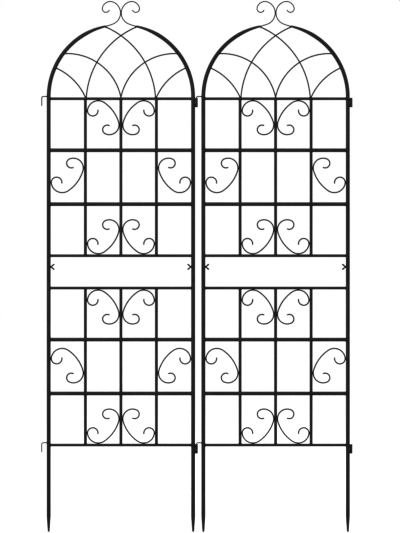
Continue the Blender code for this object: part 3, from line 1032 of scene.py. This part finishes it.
@dataclass
class Posts:
    """The two arched posts, which stand on the spiked legs."""

    layout: Layout
    crown_opening: float = 0.1070
    crown: float = 0.0034
    crown_bore: float = 0.0022
    crown_recess: float = 0.003
    crown_edge: float = 0.0003
    crown_floor: float = 0.0003
    taper: float = 0.075
    taper_rows: int = 26
    wall: float = 0.0010
    foot_recess: float = 0.004
    foot_edge: float = 0.0006
    shaft_start: float = 0.002
    lip: float = 0.0005
    rub: float = 0.55
    rub_fade: float = 0.0016
    sides: int = 36

    def crown_angle(self) -> float:
        """Angle from upright, in degrees, at which an arched post ends."""
        return math.degrees(math.asin(self.crown_opening / 2 / self.layout.half_span))

    def centreline(self) -> Route:
        """Route of the left post from its seam to its crown end, about the panel's middle.

        Returns:
            A straight rise and then an arc of half the span's radius.
        """
        plan = self.layout
        rise = run((-plan.half_span, plan.seam), (-plan.half_span, plan.spring))
        turn = self.crown_angle() - 90
        return rise.then(bends((-plan.half_span, plan.spring), QUARTER, ((plan.half_span, turn),)))

    def arch_point(self, degrees: float) -> Place:
        """Point on the left arch at an angle from upright."""
        turn, reach = math.radians(degrees), self.layout.half_span
        return -reach * math.sin(turn), self.layout.spring + reach * math.cos(turn)

    def tube(self, side: Side) -> Surface:
        """One arched tube: full radius, then an even narrowing to the crown, with open turned-over ends.

        Args:
            side: Which half of the panel it stands in.

        Returns:
            The closed surface.
        """
        route = self.centreline().handed(side).moved(self.layout.middle)
        reach, full = route.reach(), self.layout.post
        total, inner = reach[-1], full - self.wall
        end = total - self.crown_recess
        shaft = reach[(reach > self.shaft_start) & (reach < end)]
        shaft = np.union1d(shaft, np.linspace(total - self.taper, end, self.taper_rows))
        share = np.clip((total - shaft) / self.taper, 0, 1)
        rows = np.vstack([
            [[self.foot_recess, self.lip], [self.foot_recess, inner], [self.foot_edge, inner]],
            turned_over_edge(full, self.lip)[::-1],
            np.column_stack([shaft, self.crown + (full - self.crown) * share]),
            from_far_end(turned_over_edge(self.crown, self.lip), total),
            [[total - self.crown_edge, self.crown_bore], [end, self.crown_bore], [end, self.crown_floor]],
        ])
        ends = np.minimum(rows[:, 0], total - rows[:, 0])
        return turned(route, rows, self.sides, rub=self.rub * np.exp(-ends / self.rub_fade))

    def build(self, shop: Workshop) -> None:
        """Make the posts and legs.

        Args:
            shop: Where they are finished.
        """
        plan, legs = self.layout, Legs(self.layout)
        for side in Side:
            shop.piece(plan.node(f"arched_tube_{side.label}"), [self.tube(side)], TUBE_COAT, plan.panel,
                       plan.node(f"arch_post_{side.label}"))
            shop.piece(plan.node(f"spiked_leg_{side.label}"), [legs.leg(side)], TUBE_COAT, plan.panel,
                       plan.node(f"leg_{side.label}"))


@dataclass
class Grid:
    """Rails, pierced bars and uprights, with the beads that hold them."""

    layout: Layout
    post_bead: float = 0.0012
    post_bead_margin: float = 0.00002
    upright_bead: float = 0.0010
    rim: float = 0.00055
    rim_play: float = 0.00035
    rim_ripple: float = 0.04
    bar_end_inset: float = 0.0015
    upright_end_inset: float = 0.0012
    stations: int = 9
    sides: int = 28

    def straight_tube(self, start: Place, end: Place, radius: float) -> Surface:
        """Straight tube of one radius, between two places about the panel's middle.

        Args:
            start: Place of one end.
            end: Place of the other end.
            radius: Its radius.

        Returns:
            The closed surface.
        """
        route = run(start, end).moved(self.layout.middle)
        stations = np.linspace(0, route.reach()[-1], self.stations)
        return turned(route, np.column_stack([stations, np.full(self.stations, radius)]), self.sides)

    def cross_tube(self, name: str, radius: float) -> Surface:
        """Level tube that ends inside both posts."""
        reach, height = self.layout.half_span - self.bar_end_inset, self.layout.heights[name]
        return self.straight_tube((-reach, height), (reach, height), radius)

    def upright_tube(self, x: float, low: str, high: str) -> Surface:
        """Upright tube that ends inside both rails.

        Args:
            x: Where it stands, from the panel's middle.
            low: The rail below it.
            high: The rail above it.

        Returns:
            The closed surface.
        """
        foot = self.layout.heights[low] + self.upright_end_inset
        top = self.layout.heights[high] - self.upright_end_inset
        return self.straight_tube((x, foot), (x, top), self.layout.upright)

    def post_beads(self, name: str, radius: float, seed: int) -> list[Surface]:
        """Beads at both ends of a cross tube, pressed to lie within the posts' depth.

        Args:
            name: The cross tube.
            radius: Its radius.
            seed: Seed of their unevenness.

        Returns:
            The two beads.
        """
        plan, beads = self.layout, []
        for side in Side:
            centre = np.array([plan.middle + side.value * plan.half_span, 0.0, plan.heights[name]])
            inward = -side.value * ALONG_X
            bead = saddle_bead(centre, inward, radius, plan.post, self.post_bead, seed + side.value)
            beads.append(bead.within(plan.post - self.post_bead_margin))
        return beads

    def upright_beads(self, x: float, low: str, high: str, seed: int) -> list[Surface]:
        """Beads at both ends of an upright.

        Args:
            x: Where it stands, from the panel's middle.
            low: The rail below it.
            high: The rail above it.
            seed: Seed of their unevenness.

        Returns:
            The two beads.
        """
        plan, beads = self.layout, []
        for name, up in ((low, 1), (high, -1)):
            centre = np.array([plan.middle + x, 0.0, plan.heights[name]])
            away = up * UPWARDS
            beads.append(saddle_bead(centre, away, plan.upright, plan.rail, self.upright_bead, seed + up))
        return beads

    def rims(self, name: str, seed: int) -> list[Surface]:
        """Thin raised rims where uprights pass through a bar, above and below.

        Args:
            name: The bar.
            seed: Seed of their unevenness.

        Returns:
            The six rims.
        """
        plan, rims = self.layout, []
        radius = plan.upright + self.rim_play
        for step in (-1, 0, 1):
            centre = np.array([plan.middle + step * plan.upright_step, 0.0, plan.heights[name]])
            for up in (1, -1):
                rim = saddle_bead(centre, up * UPWARDS, radius, plan.bar, self.rim,
                                  seed + 7 * step + up, self.rim_ripple)
                rims.append(rim)
        return rims

    def build(self, shop: Workshop) -> None:
        """Make the grid and its welds, apart from the centre uprights.

        Args:
            shop: Where they are finished.
        """
        plan, beads, rims = self.layout, [], []
        rails = ("spring_rail", "upper_rail", "lower_rail", "bottom_rail")
        bars = ("upper_bar_high", "upper_bar_low", "lower_bar_high", "lower_bar_low")
        for row, name in enumerate(rails):
            tube = self.cross_tube(name, plan.rail)
            shop.piece(plan.node(f"{name}_tube"), [tube], TUBE_COAT, plan.panel, plan.node(name))
            beads += self.post_beads(name, plan.rail, Seed.RAIL + 11 * row)
        for row, name in enumerate(bars):
            tube = self.cross_tube(name, plan.bar)
            shop.piece(plan.node(f"{name}_tube"), [tube], TUBE_COAT, plan.panel, plan.node(name))
            beads += self.post_beads(name, plan.bar, Seed.BAR + 13 * row)
            rims += self.rims(name, Seed.RIM + 17 * row)
        for section, low, high in SECTIONS:
            for side in Side:
                tube = self.upright_tube(side.value * plan.upright_step, low, high)
                shop.piece(plan.node(f"{section}_upright_tube_{side.label}"), [tube], TUBE_COAT, plan.panel,
                           plan.node(f"{section}_upright_{side.label}"))
            for step in (-1, 0, 1):
                x = step * plan.upright_step
                beads += self.upright_beads(x, low, high, Seed.UPRIGHT + 10 * step)
        shop.piece(plan.node("grid_weld_beads"), beads, WELD_COAT, plan.panel)
        shop.piece(plan.node("pierced_hole_rims"), rims, TUBE_COAT, plan.panel)


@dataclass
class Scrolls:
    """Scrolls bent from wire, in pairs on the centre uprights and alone in the outer rows.

    Arcs are radius and turn in degrees, before the scroll is brought to width.
    """

    layout: Layout
    wire: float = 0.00205
    gap: float = 0.0003
    sink: float = 0.0005
    heading: float = 30.0
    arcs: tuple[Pair, ...] = (
        (0.0154, -186.0), (0.0328, -131.0), (0.1236, -38.5), (0.0364, -116.0), (0.0177, -200.0),
    )
    tack: Sizes = (0.0042, 0.0015, 0.0016)

    def shape(self, width: float) -> Route:
        """Scroll centreline with its left edge at x = 0 and its top at z = 0.

        Args:
            width: Its width.

        Returns:
            The arcs, brought to that width.
        """
        raw = bends((0.0, 0.0), math.radians(self.heading), self.arcs)
        x, z = (values * width / np.ptp(raw.x) for values in (raw.x, raw.z))
        return Route(x - x.min(), z - z.max(), raw.heading)

    def rail_scroll(self, side: Side, rail: str, large_up: bool) -> Route:
        """Scroll beside the centre upright with its large curl against a rail.

        Args:
            side: Which side of the upright it is on.
            rail: The rail that it touches.
            large_up: Whether its large curl is at the top, under the rail.

        Returns:
            Its centreline.
        """
        plan = self.layout
        left = plan.upright - self.sink + self.wire
        right = plan.upright_step - plan.upright - self.gap - self.wire
        route = self.shape(right - left).moved(left, -(plan.rail + self.gap + self.wire))
        if not large_up:
            route = route.upside_down()
        return route.moved(0.0, plan.heights[rail]).handed(side).moved(plan.middle)

    def outer_scroll(self, node: str, side: Side, large_up: bool) -> Route:
        """Scroll between an upright and a post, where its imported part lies.

        Args:
            node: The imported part's name in the panel.
            side: Which half of the panel it is in.
            large_up: Whether its large curl is at the top.

        Returns:
            Its centreline.
        """
        low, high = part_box(self.layout.node(node))
        shape = self.shape(high[0] - low[0] - 2 * self.wire)
        if not large_up:
            shape = shape.upside_down()
        shape = shape.handed(side)
        return shape.moved(
            (low[0] + high[0]) / 2 - (shape.x.min() + shape.x.max()) / 2,
            (low[2] + high[2]) / 2 - (shape.z.min() + shape.z.max()) / 2,
        )

    def tacks(self, route: Route, touches: tuple[str, ...], seed: int) -> list[Surface]:
        """Tack welds where a scroll's outermost points meet their neighbours.

        Args:
            route: The scroll's centreline.
            touches: Which outermost points are welded: low_x, high_x, low_z or high_z.
            seed: Seed of their unevenness.

        Returns:
            One lump for each.
        """
        values = {"x": route.x, "z": route.z}
        lumps = []
        for k, touch in enumerate(touches):
            end, axis = touch.split("_")
            sign = 1 if end == "high" else -1
            i = int(np.argmax(sign * values[axis]))
            outward, along = (ALONG_X, UPWARDS) if axis == "x" else (UPWARDS, ALONG_X)
            centre = np.array([route.x[i], 0.0, route.z[i]]) + sign * (self.wire + self.gap / 2) * outward
            lumps.append(lump(centre, along, self.tack, seed + k))
        return lumps

    def build(self, shop: Workshop, grid: Grid) -> None:
        """Make the scrolls, the centre uprights and their tack welds.

        Args:
            shop: Where they are finished.
            grid: The grid that they stand in.
        """
        plan, tacks = self.layout, []
        for row, (section, low, high) in enumerate(SECTIONS):
            wires = []
            for side in Side:
                inner, outer = ("low_x", "high_x") if side is Side.RIGHT else ("high_x", "low_x")
                top, foot = self.rail_scroll(side, high, True), self.rail_scroll(side, low, False)
                wires += [wire(top, self.wire), wire(foot, self.wire)]
                tacks += self.tacks(top, (inner, outer, "high_z"), Seed.TOP_SCROLL + 20 * row + side.value)
                tacks += self.tacks(foot, (inner, outer, "low_z"), Seed.FOOT_SCROLL + 20 * row + side.value)
            shop.piece(plan.node(f"{section}_scroll_wires"), wires, WIRE_COAT, plan.panel)
            upright = grid.upright_tube(0.0, low, high)
            shop.piece(plan.node(f"{section}_centre_upright_tube"), [upright], TUBE_COAT, plan.panel,
                       plan.node(f"{section}_centre_scrollwork"))
            for side in Side:
                node = f"{section}_outer_scroll_{side.label}"
                route = self.outer_scroll(node, side, section == "lower")
                bent = wire(route, self.wire)
                shop.piece(plan.node(f"{section}_outer_wire_{side.label}"), [bent], WIRE_COAT, plan.panel,
                           plan.node(node))
                tacks += self.tacks(route, ("low_x", "high_x"), Seed.OUTER_SCROLL + 20 * row + side.value)
        shop.piece(plan.node("scroll_tack_welds"), tacks, WELD_COAT, plan.panel)


@dataclass
class Fan:
    """Six crossed ribs under the arch, welded at their ends and where they cross."""

    layout: Layout
    posts: Posts
    wire: float = 0.00205
    lay: float = 0.0014
    centre_angle: float = 53.3
    centre_turn: float = 82.7
    cross_setback: float = 0.002
    cross_inset: float = 0.003
    cross_turn: float = 63.6
    corner_angle: float = 66.0
    corner_turn: float = 43.2
    rail_gap: float = 0.0003
    foot_sink: float = 0.0024
    touching: float = 0.003
    clear_of_feet: float = 0.02
    crossing_tack: Sizes = (0.0027, 0.0025, 0.0024)
    arch_tack: Sizes = (0.0031, 0.0022, 0.0026)
    foot_tack: Sizes = (0.0034, 0.0013, 0.0028)

    def ribs(self) -> list[Route]:
        """Centrelines of the six ribs, each one arc from the arch down into the spring rail.

        Returns:
            The three that start on one side, then their mirror images.
        """
        plan = self.layout
        foot = plan.heights["spring_rail"] + plan.rail + self.rail_gap
        crown = self.posts.crown_angle() + math.degrees(self.cross_setback / plan.half_span)
        point, step = self.posts.arch_point, plan.upright_step
        routes = []
        for side in (Side.RIGHT, Side.LEFT):
            lay = side.value * self.lay
            cross = bow(point(crown), (step - self.cross_inset, foot), self.cross_turn, -lay)
            centre = bow(point(self.centre_angle), (0.0, foot), self.centre_turn, 0.0)
            corner = bow(point(self.corner_angle), (-step, foot), self.corner_turn, lay)
            half = (cross, centre, corner)
            routes += [self.footed(route.handed(side)).moved(plan.middle) for route in half]
        return routes

    def footed(self, route: Route) -> Route:
        """The rib carried on a little way into the rail.

        Args:
            route: Its centreline down to the rail.

        Returns:
            Its whole centreline.
        """
        x, z, heading = route.end()
        below = (x + self.foot_sink * math.cos(heading), z + self.foot_sink * math.sin(heading))
        return route.then(run((x, z), below))

    def tacks(self, ribs: list[Route]) -> list[Surface]:
        """Lumps where ribs cross, where they meet the arch and on the rail.

        Args:
            ribs: The ribs' centrelines.

        Returns:
            The lumps.
        """
        lowest = self.layout.heights["spring_rail"] + self.clear_of_feet
        lumps = []
        for i, first in enumerate(ribs):
            for k, second in enumerate(ribs[:i]):
                place, apart = meeting_point(first, second)
                if apart < self.touching and place[2] > lowest:
                    lumps.append(lump(place, UPWARDS, self.crossing_tack, Seed.CROSSING + 10 * i + k))
        for i, rib in enumerate(ribs):
            centre, across, _ = rib.at(np.array([self.layout.post, rib.reach()[-1] - self.foot_sink]))
            lumps.append(lump(centre[0], across[0], self.arch_tack, Seed.ARCH_END + i))
            lumps.append(lump(centre[1], ALONG_X, self.foot_tack, Seed.RAIL_END + i))
        return lumps

    def build(self, shop: Workshop) -> None:
        """Make the fan.

        Args:
            shop: Where it is finished.
        """
        plan, ribs = self.layout, self.ribs()
        wires = [wire(rib, self.wire) for rib in ribs]
        shop.piece(plan.node("fan_ribs"), wires, WIRE_COAT, plan.panel, plan.node("arch_fan"))
        shop.piece(plan.node("fan_tack_welds"), self.tacks(ribs), WELD_COAT, plan.panel)


@dataclass
class Finial:
    """Two curled wires that spring from the crown ends and touch in the middle.

    The rise and the arcs are radius and turn in degrees.
    """

    layout: Layout
    posts: Posts
    wire: float = 0.0016
    plug: float = 0.012
    rise: Pair = (0.180, 10.0)
    arcs: tuple[Pair, ...] = ((0.0400, 133.5), (0.0270, 103.5), (0.0123, 170.0))
    sink: float = 0.00025
    crown_weld: Sizes = (0.0034, 0.0030, 0.0030)
    middle_weld: Sizes = (0.0065, 0.0013, 0.0014)

    def centreline(self) -> Route:
        """Route of the left wire: out of the crown end, up to the middle and round its curl.

        Returns:
            The route, set over so that the two curls just touch.
        """
        x, z, heading = self.posts.centreline().end()
        back = (x - self.plug * math.cos(heading), z - self.plug * math.sin(heading))
        rise = run(back, (x, z)).then(bends((x, z), heading, (self.rise,)))
        top_x, top_z, lean = rise.end()
        curl = bends((0.0, 0.0), lean, self.arcs)
        across = -(self.wire - self.sink) - curl.x.max() - top_x
        lead = (top_x + across, top_z + across * math.tan(lean))
        return rise.then(run((top_x, top_z), lead)).then(curl.moved(*lead))

    def build(self, shop: Workshop) -> None:
        """Make the finial and its welds.

        Args:
            shop: Where they are finished.
        """
        plan, left = self.layout, self.centreline()
        routes = [left.handed(side).moved(plan.middle) for side in Side]
        wires = [wire(route, self.wire) for route in routes]
        shop.piece(plan.node("finial_wires"), wires, WIRE_COAT, plan.panel, plan.node("finial"))
        welds = []
        for k, route in enumerate(routes):
            centre, _, along = route.at(np.array([self.plug]))
            welds.append(lump(centre[0], along[0], self.crown_weld, Seed.CROWN + k))
        nearest = int(np.argmin(np.abs(routes[0].x - plan.middle)))
        touch = np.array([plan.middle, 0.0, routes[0].z[nearest]])
        welds.append(lump(touch, UPWARDS, self.middle_weld, Seed.FINIAL_MIDDLE))
        shop.piece(plan.node("finial_welds"), welds, WELD_COAT, plan.panel)


@dataclass
class Couplers:
    """Hooks on the left post and the sleeves on the right post that take a neighbour's hooks."""

    layout: Layout
    wire: float = 0.0016
    bend: float = 0.005
    root_sink: float = 0.0015
    bore: float = 0.0028
    bore_end: float = 0.0002
    lip: float = 0.0005
    hook_rub: float = 0.7
    rim_rub: float = 0.6
    rim_rub_fade: float = 0.0012
    root_weld: Sizes = (0.0016, 0.0026, 0.0026)
    sleeve_tack: Sizes = (0.0036, 0.0017, 0.0013)
    tack_place: Point = (0.0002, 0.0022, 0.0105)
    sides: int = 36

    def hook(self, end: str) -> tuple[Route, np.ndarray]:
        """Route of a hook from inside the post to its pin's end.

        Args:
            end: Which hook: top or bottom.

        Returns:
            The route, and the point where it leaves the post.
        """
        low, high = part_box(self.layout.node(f"{end}_hook"))
        face = self.layout.middle - self.layout.half_span - self.layout.post
        arm, pin = high[2] - self.wire, low[0] + self.wire
        start = run((face + self.root_sink, arm), (pin + self.bend, arm))
        turn = bends((pin + self.bend, arm), math.pi, ((self.bend, 90.0),))
        drop = run((pin, arm - self.bend), (pin, low[2]))
        return start.then(turn).then(drop), np.array([face, 0.0, arm])

    def sleeve(self, end: str) -> tuple[Surface, np.ndarray]:
        """Short open tube with turned-over rims.

        Its profile runs up the outside and down the bore, and is carried
        round the tube's axis.

        Args:
            end: Which sleeve: top or bottom.

        Returns:
            The closed surface, and the sleeve's middle.
        """
        low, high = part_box(self.layout.node(f"{end}_sleeve"))
        x, outer, length = (low[0] + high[0]) / 2, (high[0] - low[0]) / 2, high[2] - low[2]
        edge = turned_over_edge(outer, self.lip)
        inside = [[length - self.bore_end, self.bore], [length / 2, self.bore], [self.bore_end, self.bore]]
        profile = np.vstack([edge[::-1], [[length / 2, outer]], from_far_end(edge, length), inside])
        centre, across, _ = run((x, low[2]), (x, high[2])).at(profile[:, 0])
        angle = np.arange(self.sides) * FULL_TURN / self.sides
        ring = np.cos(angle)[:, None] * across[:, None] + np.sin(angle)[:, None] * DEPTH
        rings = centre[:, None] + profile[:, 1, None, None] * ring
        to_rim = np.minimum(profile[:, 0], length - profile[:, 0])
        surface = loft(rings, Ends.LOOP, self.rim_rub * np.exp(-to_rim / self.rim_rub_fade))
        return surface, np.array([x, 0.0, (low[2] + high[2]) / 2])

    def build(self, shop: Workshop) -> None:
        """Make the hooks and sleeves with their welds.

        Args:
            shop: Where they are finished.
        """
        plan, welds = self.layout, []
        aside, depth, rise = self.tack_place
        between = plan.middle + plan.half_span + plan.post + aside
        for k, end in enumerate(("top", "bottom")):
            route, root = self.hook(end)
            bent = wire(route, self.wire, rubbed=self.hook_rub)
            shop.piece(plan.node(f"{end}_hook_wire"), [bent], WIRE_COAT, plan.panel, plan.node(f"{end}_hook"))
            welds.append(lump(root, ALONG_X, self.root_weld, Seed.HOOK_ROOT + k))
            tube, middle = self.sleeve(end)
            shop.piece(plan.node(f"{end}_sleeve_tube"), [tube], TUBE_COAT, plan.panel,
                       plan.node(f"{end}_sleeve"))
            for step in (-1, 1):
                for face in (-1, 1):
                    centre = np.array([between, face * depth, middle[2] + step * rise])
                    seed = Seed.SLEEVE + 4 * k + step + 2 * face
                    welds.append(lump(centre, UPWARDS, self.sleeve_tack, seed))
        shop.piece(plan.node("coupler_welds"), welds, WELD_COAT, plan.panel)


@dataclass
class WingScrew:
    """A screw with two ears that clamps a leg inside an arched post.

    The ear's flare is its share of the half width at the hub and how much it
    gains. Its rub is the rubbing at the hub and how much that grows.
    """

    layout: Layout
    side: Side
    shank: float = 0.0024
    shank_rows: tuple[Pair, ...] = ((-0.0016, 0.9), (-0.0014, 1.0), (0.0002, 1.0))
    hub: float = 0.0040
    hub_rows: tuple[Pair, ...] = (
        (0.00032, 0.93), (0.0005, 1.0), (0.0012, 1.0), (0.0018, 0.90), (0.0034, 0.86), (0.0046, 0.78),
        (0.0051, 0.58), (0.0054, 0.25),
    )
    rub: tuple[float, ...] = (0.0, 0.0, 0.0, 0.5, 0.6, 0.4, 0.3, 0.3, 0.5, 0.6, 0.5)
    sides: int = 32
    ear_root: float = 0.0030
    ear_reach: float = 0.0128
    ear_rise: float = 0.0091
    ear_arch: float = 0.0009
    ear_half_width: float = 0.0021
    ear_flare: Pair = (0.80, 0.42)
    ear_half_thickness: float = 0.0011
    ear_thinning: float = 0.24
    ear_rub: Pair = (0.25, 0.45)
    hole: float = 0.0031
    hole_rim: float = 0.00028
    hole_sink: float = 0.0001
    hole_ripple: float = 0.02

    def seat(self) -> tuple[float, float, float]:
        """Where the screw sits on its post.

        Returns:
            Where its axis meets the post, its height, and which way it points.
        """
        low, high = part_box(self.layout.node(f"wing_screw_{self.side.label}"))
        face = self.layout.middle + self.side.value * (self.layout.half_span - self.layout.post)
        return face, (low[2] + high[2]) / 2, -float(self.side.value)

    def body(self) -> Surface:
        """Shank and hub turned about the screw's axis: a plain shank, a flared foot and a domed end.

        Each row is a distance out from the post and a share of the shank's
        or the hub's radius.

        Returns:
            The closed surface.
        """
        x, z, out = self.seat()
        shank, hub = np.array(self.shank_rows) * (1.0, self.shank), np.array(self.hub_rows) * (1.0, self.hub)
        route = run((x, z), (x + out * self.hub_rows[-1][0], z))
        return turned(route, np.vstack([shank, hub]), self.sides, rub=np.array(self.rub))

    def ear(self, up: int) -> Surface:
        """One ear: a flattened section carried from the hub to a round tip.

        The section is a rounded box, cos a and sin a each raised to a power
        below one. Its half width grows with the sine of the share of the way
        out, and both halves fall to nothing at the tip as an ellipse does.

        Args:
            up: 1 for the upper ear, -1 for the lower one.

        Returns:
            The closed ear.
        """
        rows, sides, hidden_start = 26, 24, 0.06
        tip_start, tip_length, bluntest, squareness = 0.74, 0.262, 0.0004, 0.7
        x, z, out = self.seat()
        root = np.array([x + out * self.ear_root, z])
        tip = np.array([x + out * self.ear_reach, z + up * self.ear_rise])
        share = (1 - np.cos(np.linspace(hidden_start, 1, rows) * math.pi)) / 2
        heading = (tip - root) / np.hypot(*(tip - root))
        normal = np.array([-heading[1], heading[0]])
        arch = self.ear_arch * up * out * np.sin(math.pi * share)
        centre = root + share[:, None] * (tip - root) + arch[:, None] * normal
        close = np.sqrt(np.clip(1 - np.clip((share - tip_start) / tip_length, 0, 1) ** 2, bluntest, 1))
        root_share, flare = self.ear_flare
        width = self.ear_half_width * (root_share + flare * np.sin(QUARTER * share)) * close
        thick = self.ear_half_thickness * (1.0 - self.ear_thinning * share) * close
        angle = np.arange(sides) * FULL_TURN / sides
        ridge, face = (np.sign(wave) * np.abs(wave) ** squareness for wave in (np.cos(angle), np.sin(angle)))
        flat = centre[:, None] + (width[:, None] * ridge)[..., None] * normal
        rings = np.stack([flat[..., 0], thick[:, None] * face, flat[..., 1]], axis=-1)
        return loft(rings, Ends.POLES, self.ear_rub[0] + self.ear_rub[1] * share)

    def build(self, shop: Workshop) -> None:
        """Make the screw, and the punched rim that it turns in.

        Args:
            shop: Where they are finished.
        """
        plan, label = self.layout, self.side.label
        screw = [self.body(), self.ear(1), self.ear(-1)]
        shop.piece(plan.node(f"wing_screw_head_{label}"), screw, SCREW_FINISH, f"{plan.panel}_{label}_screw",
                   plan.node(f"wing_screw_{label}"))
        _, height, out = self.seat()
        axis = np.array([plan.middle + self.side.value * plan.half_span, 0.0, height])
        rim = saddle_bead(axis, out * ALONG_X, self.hole, plan.post - self.hole_sink, self.hole_rim,
                          Seed.SCREW_RIM, self.hole_ripple)
        shop.piece(plan.node(f"screw_hole_rim_{label}"), [rim], TUBE_COAT, plan.panel)


def build_panel(name: str, shop: Workshop) -> None:
    """Make one panel's sub-assemblies in order.

    Args:
        name: The panel's name.
        shop: Where they are finished.
    """
    layout = Layout.read(name)
    posts, grid = Posts(layout), Grid(layout)
    posts.build(shop)
    grid.build(shop)
    Scrolls(layout).build(shop, grid)
    Fan(layout, posts).build(shop)
    Finial(layout, posts).build(shop)
    Couplers(layout).build(shop)
    for side in Side:
        WingScrew(layout, side).build(shop)


# Studio


@dataclass(frozen=True)
class LightPanel:
    """Square panel of soft light: where it hangs, its power and its size."""

    name: str
    place: Point
    power: float
    size: float


LIGHT_PANELS = (
    LightPanel("front_panel", (-2.6, -4.2, 2.6), 80.0, 2.2),
    LightPanel("side_panel", (3.2, 2.6, 2.4), 45.0, 2.0),
)


@dataclass
class Studio:
    """Pale floor, soft light and the camera.

    The floor's clouds and tooth are the scale and detail of a noise, and its
    roughness is the least value and how far it spreads.
    """

    floor_size: float = 60.0
    floor_drop: float = 0.0004
    floor_lines: int = 13
    floor_colour: Colour = (0.815, 0.814, 0.812)
    floor_shade: float = 0.985
    floor_gloss: float = 0.15
    floor_clouds: Pair = (3.0, 4.0)
    floor_tooth: Pair = (40.0, 3.0)
    floor_roughness: Pair = (0.65, 0.1)
    sun_power: float = 0.9
    sun_softness: float = 40.0
    sun_place: Point = (0.0, -2.0, 6.0)
    panel_aim: Point = (0.0, 0.0, 0.9)
    view_height: float = 1.8042
    view_middle: Place = (0.0120, 0.8976)
    lens: float = 150.0
    sensor: float = 36.0
    tone: float = 0.50

    def floor(self) -> None:
        """Level pale floor just under the spikes: a square grid of points in even steps both ways."""
        half, lines = self.floor_size / 2, self.floor_lines
        steps = np.linspace(-half, half, lines)
        x, y = np.meshgrid(steps, steps, indexing="ij")
        points = np.stack([x, y, np.full_like(x, -self.floor_drop)], axis=-1).reshape(-1, 3)
        index = np.arange(lines**2).reshape(lines, lines)
        corners = [index[:-1, :-1], index[1:, :-1], index[1:, 1:], index[:-1, 1:]]
        mesh = bpy.data.meshes.new("floor")
        mesh.from_pydata(points.tolist(), [], np.stack(corners, axis=-1).reshape(-1, 4).tolist())
        mesh.materials.append(self.floor_finish())
        placed("floor", mesh)

    def floor_finish(self) -> bpy.types.Material:
        """Pale matt paint with a faint mottle.

        Returns:
            The new material.
        """
        material = bpy.data.materials.new("pale_floor")
        material.use_nodes = True
        tree = material.node_tree
        shader = tree.nodes["Principled BSDF"]
        shader.inputs["Specular IOR Level"].default_value = self.floor_gloss
        place = tree.nodes.new("ShaderNodeTexCoord").outputs["Object"]
        shaded = tuple(self.floor_shade * channel for channel in self.floor_colour)
        tone = blend(tree, noise(tree, place, *self.floor_clouds), self.floor_colour, shaded)
        tree.links.new(tone, shader.inputs["Base Color"])
        smoothest, spread = self.floor_roughness
        roughness = maths(tree, "MULTIPLY_ADD", noise(tree, place, *self.floor_tooth), spread, smoothest)
        tree.links.new(roughness, shader.inputs["Roughness"])
        return material

    def lights(self) -> None:
        """Even pale surroundings, a high soft sun and two large panels of light."""
        world = bpy.data.worlds.new("surroundings")
        world.use_nodes = True
        world.node_tree.nodes["Background"].inputs["Color"].default_value = (1.0, 1.0, 1.0, 1.0)
        world.node_tree.nodes["Background"].inputs["Strength"].default_value = 1.0
        bpy.context.scene.world = world
        sun = bpy.data.lights.new("high_sun", "SUN")
        sun.energy, sun.angle = self.sun_power, math.radians(self.sun_softness)
        self.hang(sun, self.sun_place, (0.0, 0.0, 0.0))
        for panel in LIGHT_PANELS:
            light = bpy.data.lights.new(panel.name, "AREA")
            light.shape, light.energy = "RECTANGLE", panel.power
            light.size, light.size_y = panel.size, panel.size
            self.hang(light, panel.place, self.panel_aim)

    @staticmethod
    def hang(light: bpy.types.Light, place: Point, aim: Point) -> None:
        """Place a light and turn it to face a point.

        Args:
            light: The light.
            place: Where it hangs.
            aim: The point that it faces.
        """
        made = placed(light.name, light)
        made.location = place
        made.rotation_euler = (Vector(aim) - Vector(place)).to_track_quat("-Z", "Y").to_euler()

    def camera(self) -> None:
        """Long lens that looks straight at the panels' faces."""
        lens = bpy.data.cameras.new("camera")
        lens.lens, lens.sensor_width = self.lens, self.sensor
        made = placed("camera", lens)
        away = self.view_height * self.lens / self.sensor
        made.location = (self.view_middle[0], -away, self.view_middle[1])
        made.rotation_euler = (QUARTER, 0.0, 0.0)
        bpy.context.scene.camera = made

    def build(self) -> None:
        """Set up the whole studio, with plain tones so that the pale ground reads as white."""
        view = bpy.context.scene.view_settings
        view.view_transform, view.gamma = "Standard", self.tone
        self.floor()
        self.lights()
        self.camera()


def main() -> None:
    """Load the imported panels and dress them."""
    logging.basicConfig(level=logging.INFO, format="%(message)s")
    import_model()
    shop = Workshop(Effects(coat_grain(), coat_mottle(), edge_rubbing(), settled_dust()))
    for name in ("left_panel", "right_panel"):
        build_panel(name, shop)
    Studio().build()
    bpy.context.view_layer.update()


if __name__ == "__main__":
    main()
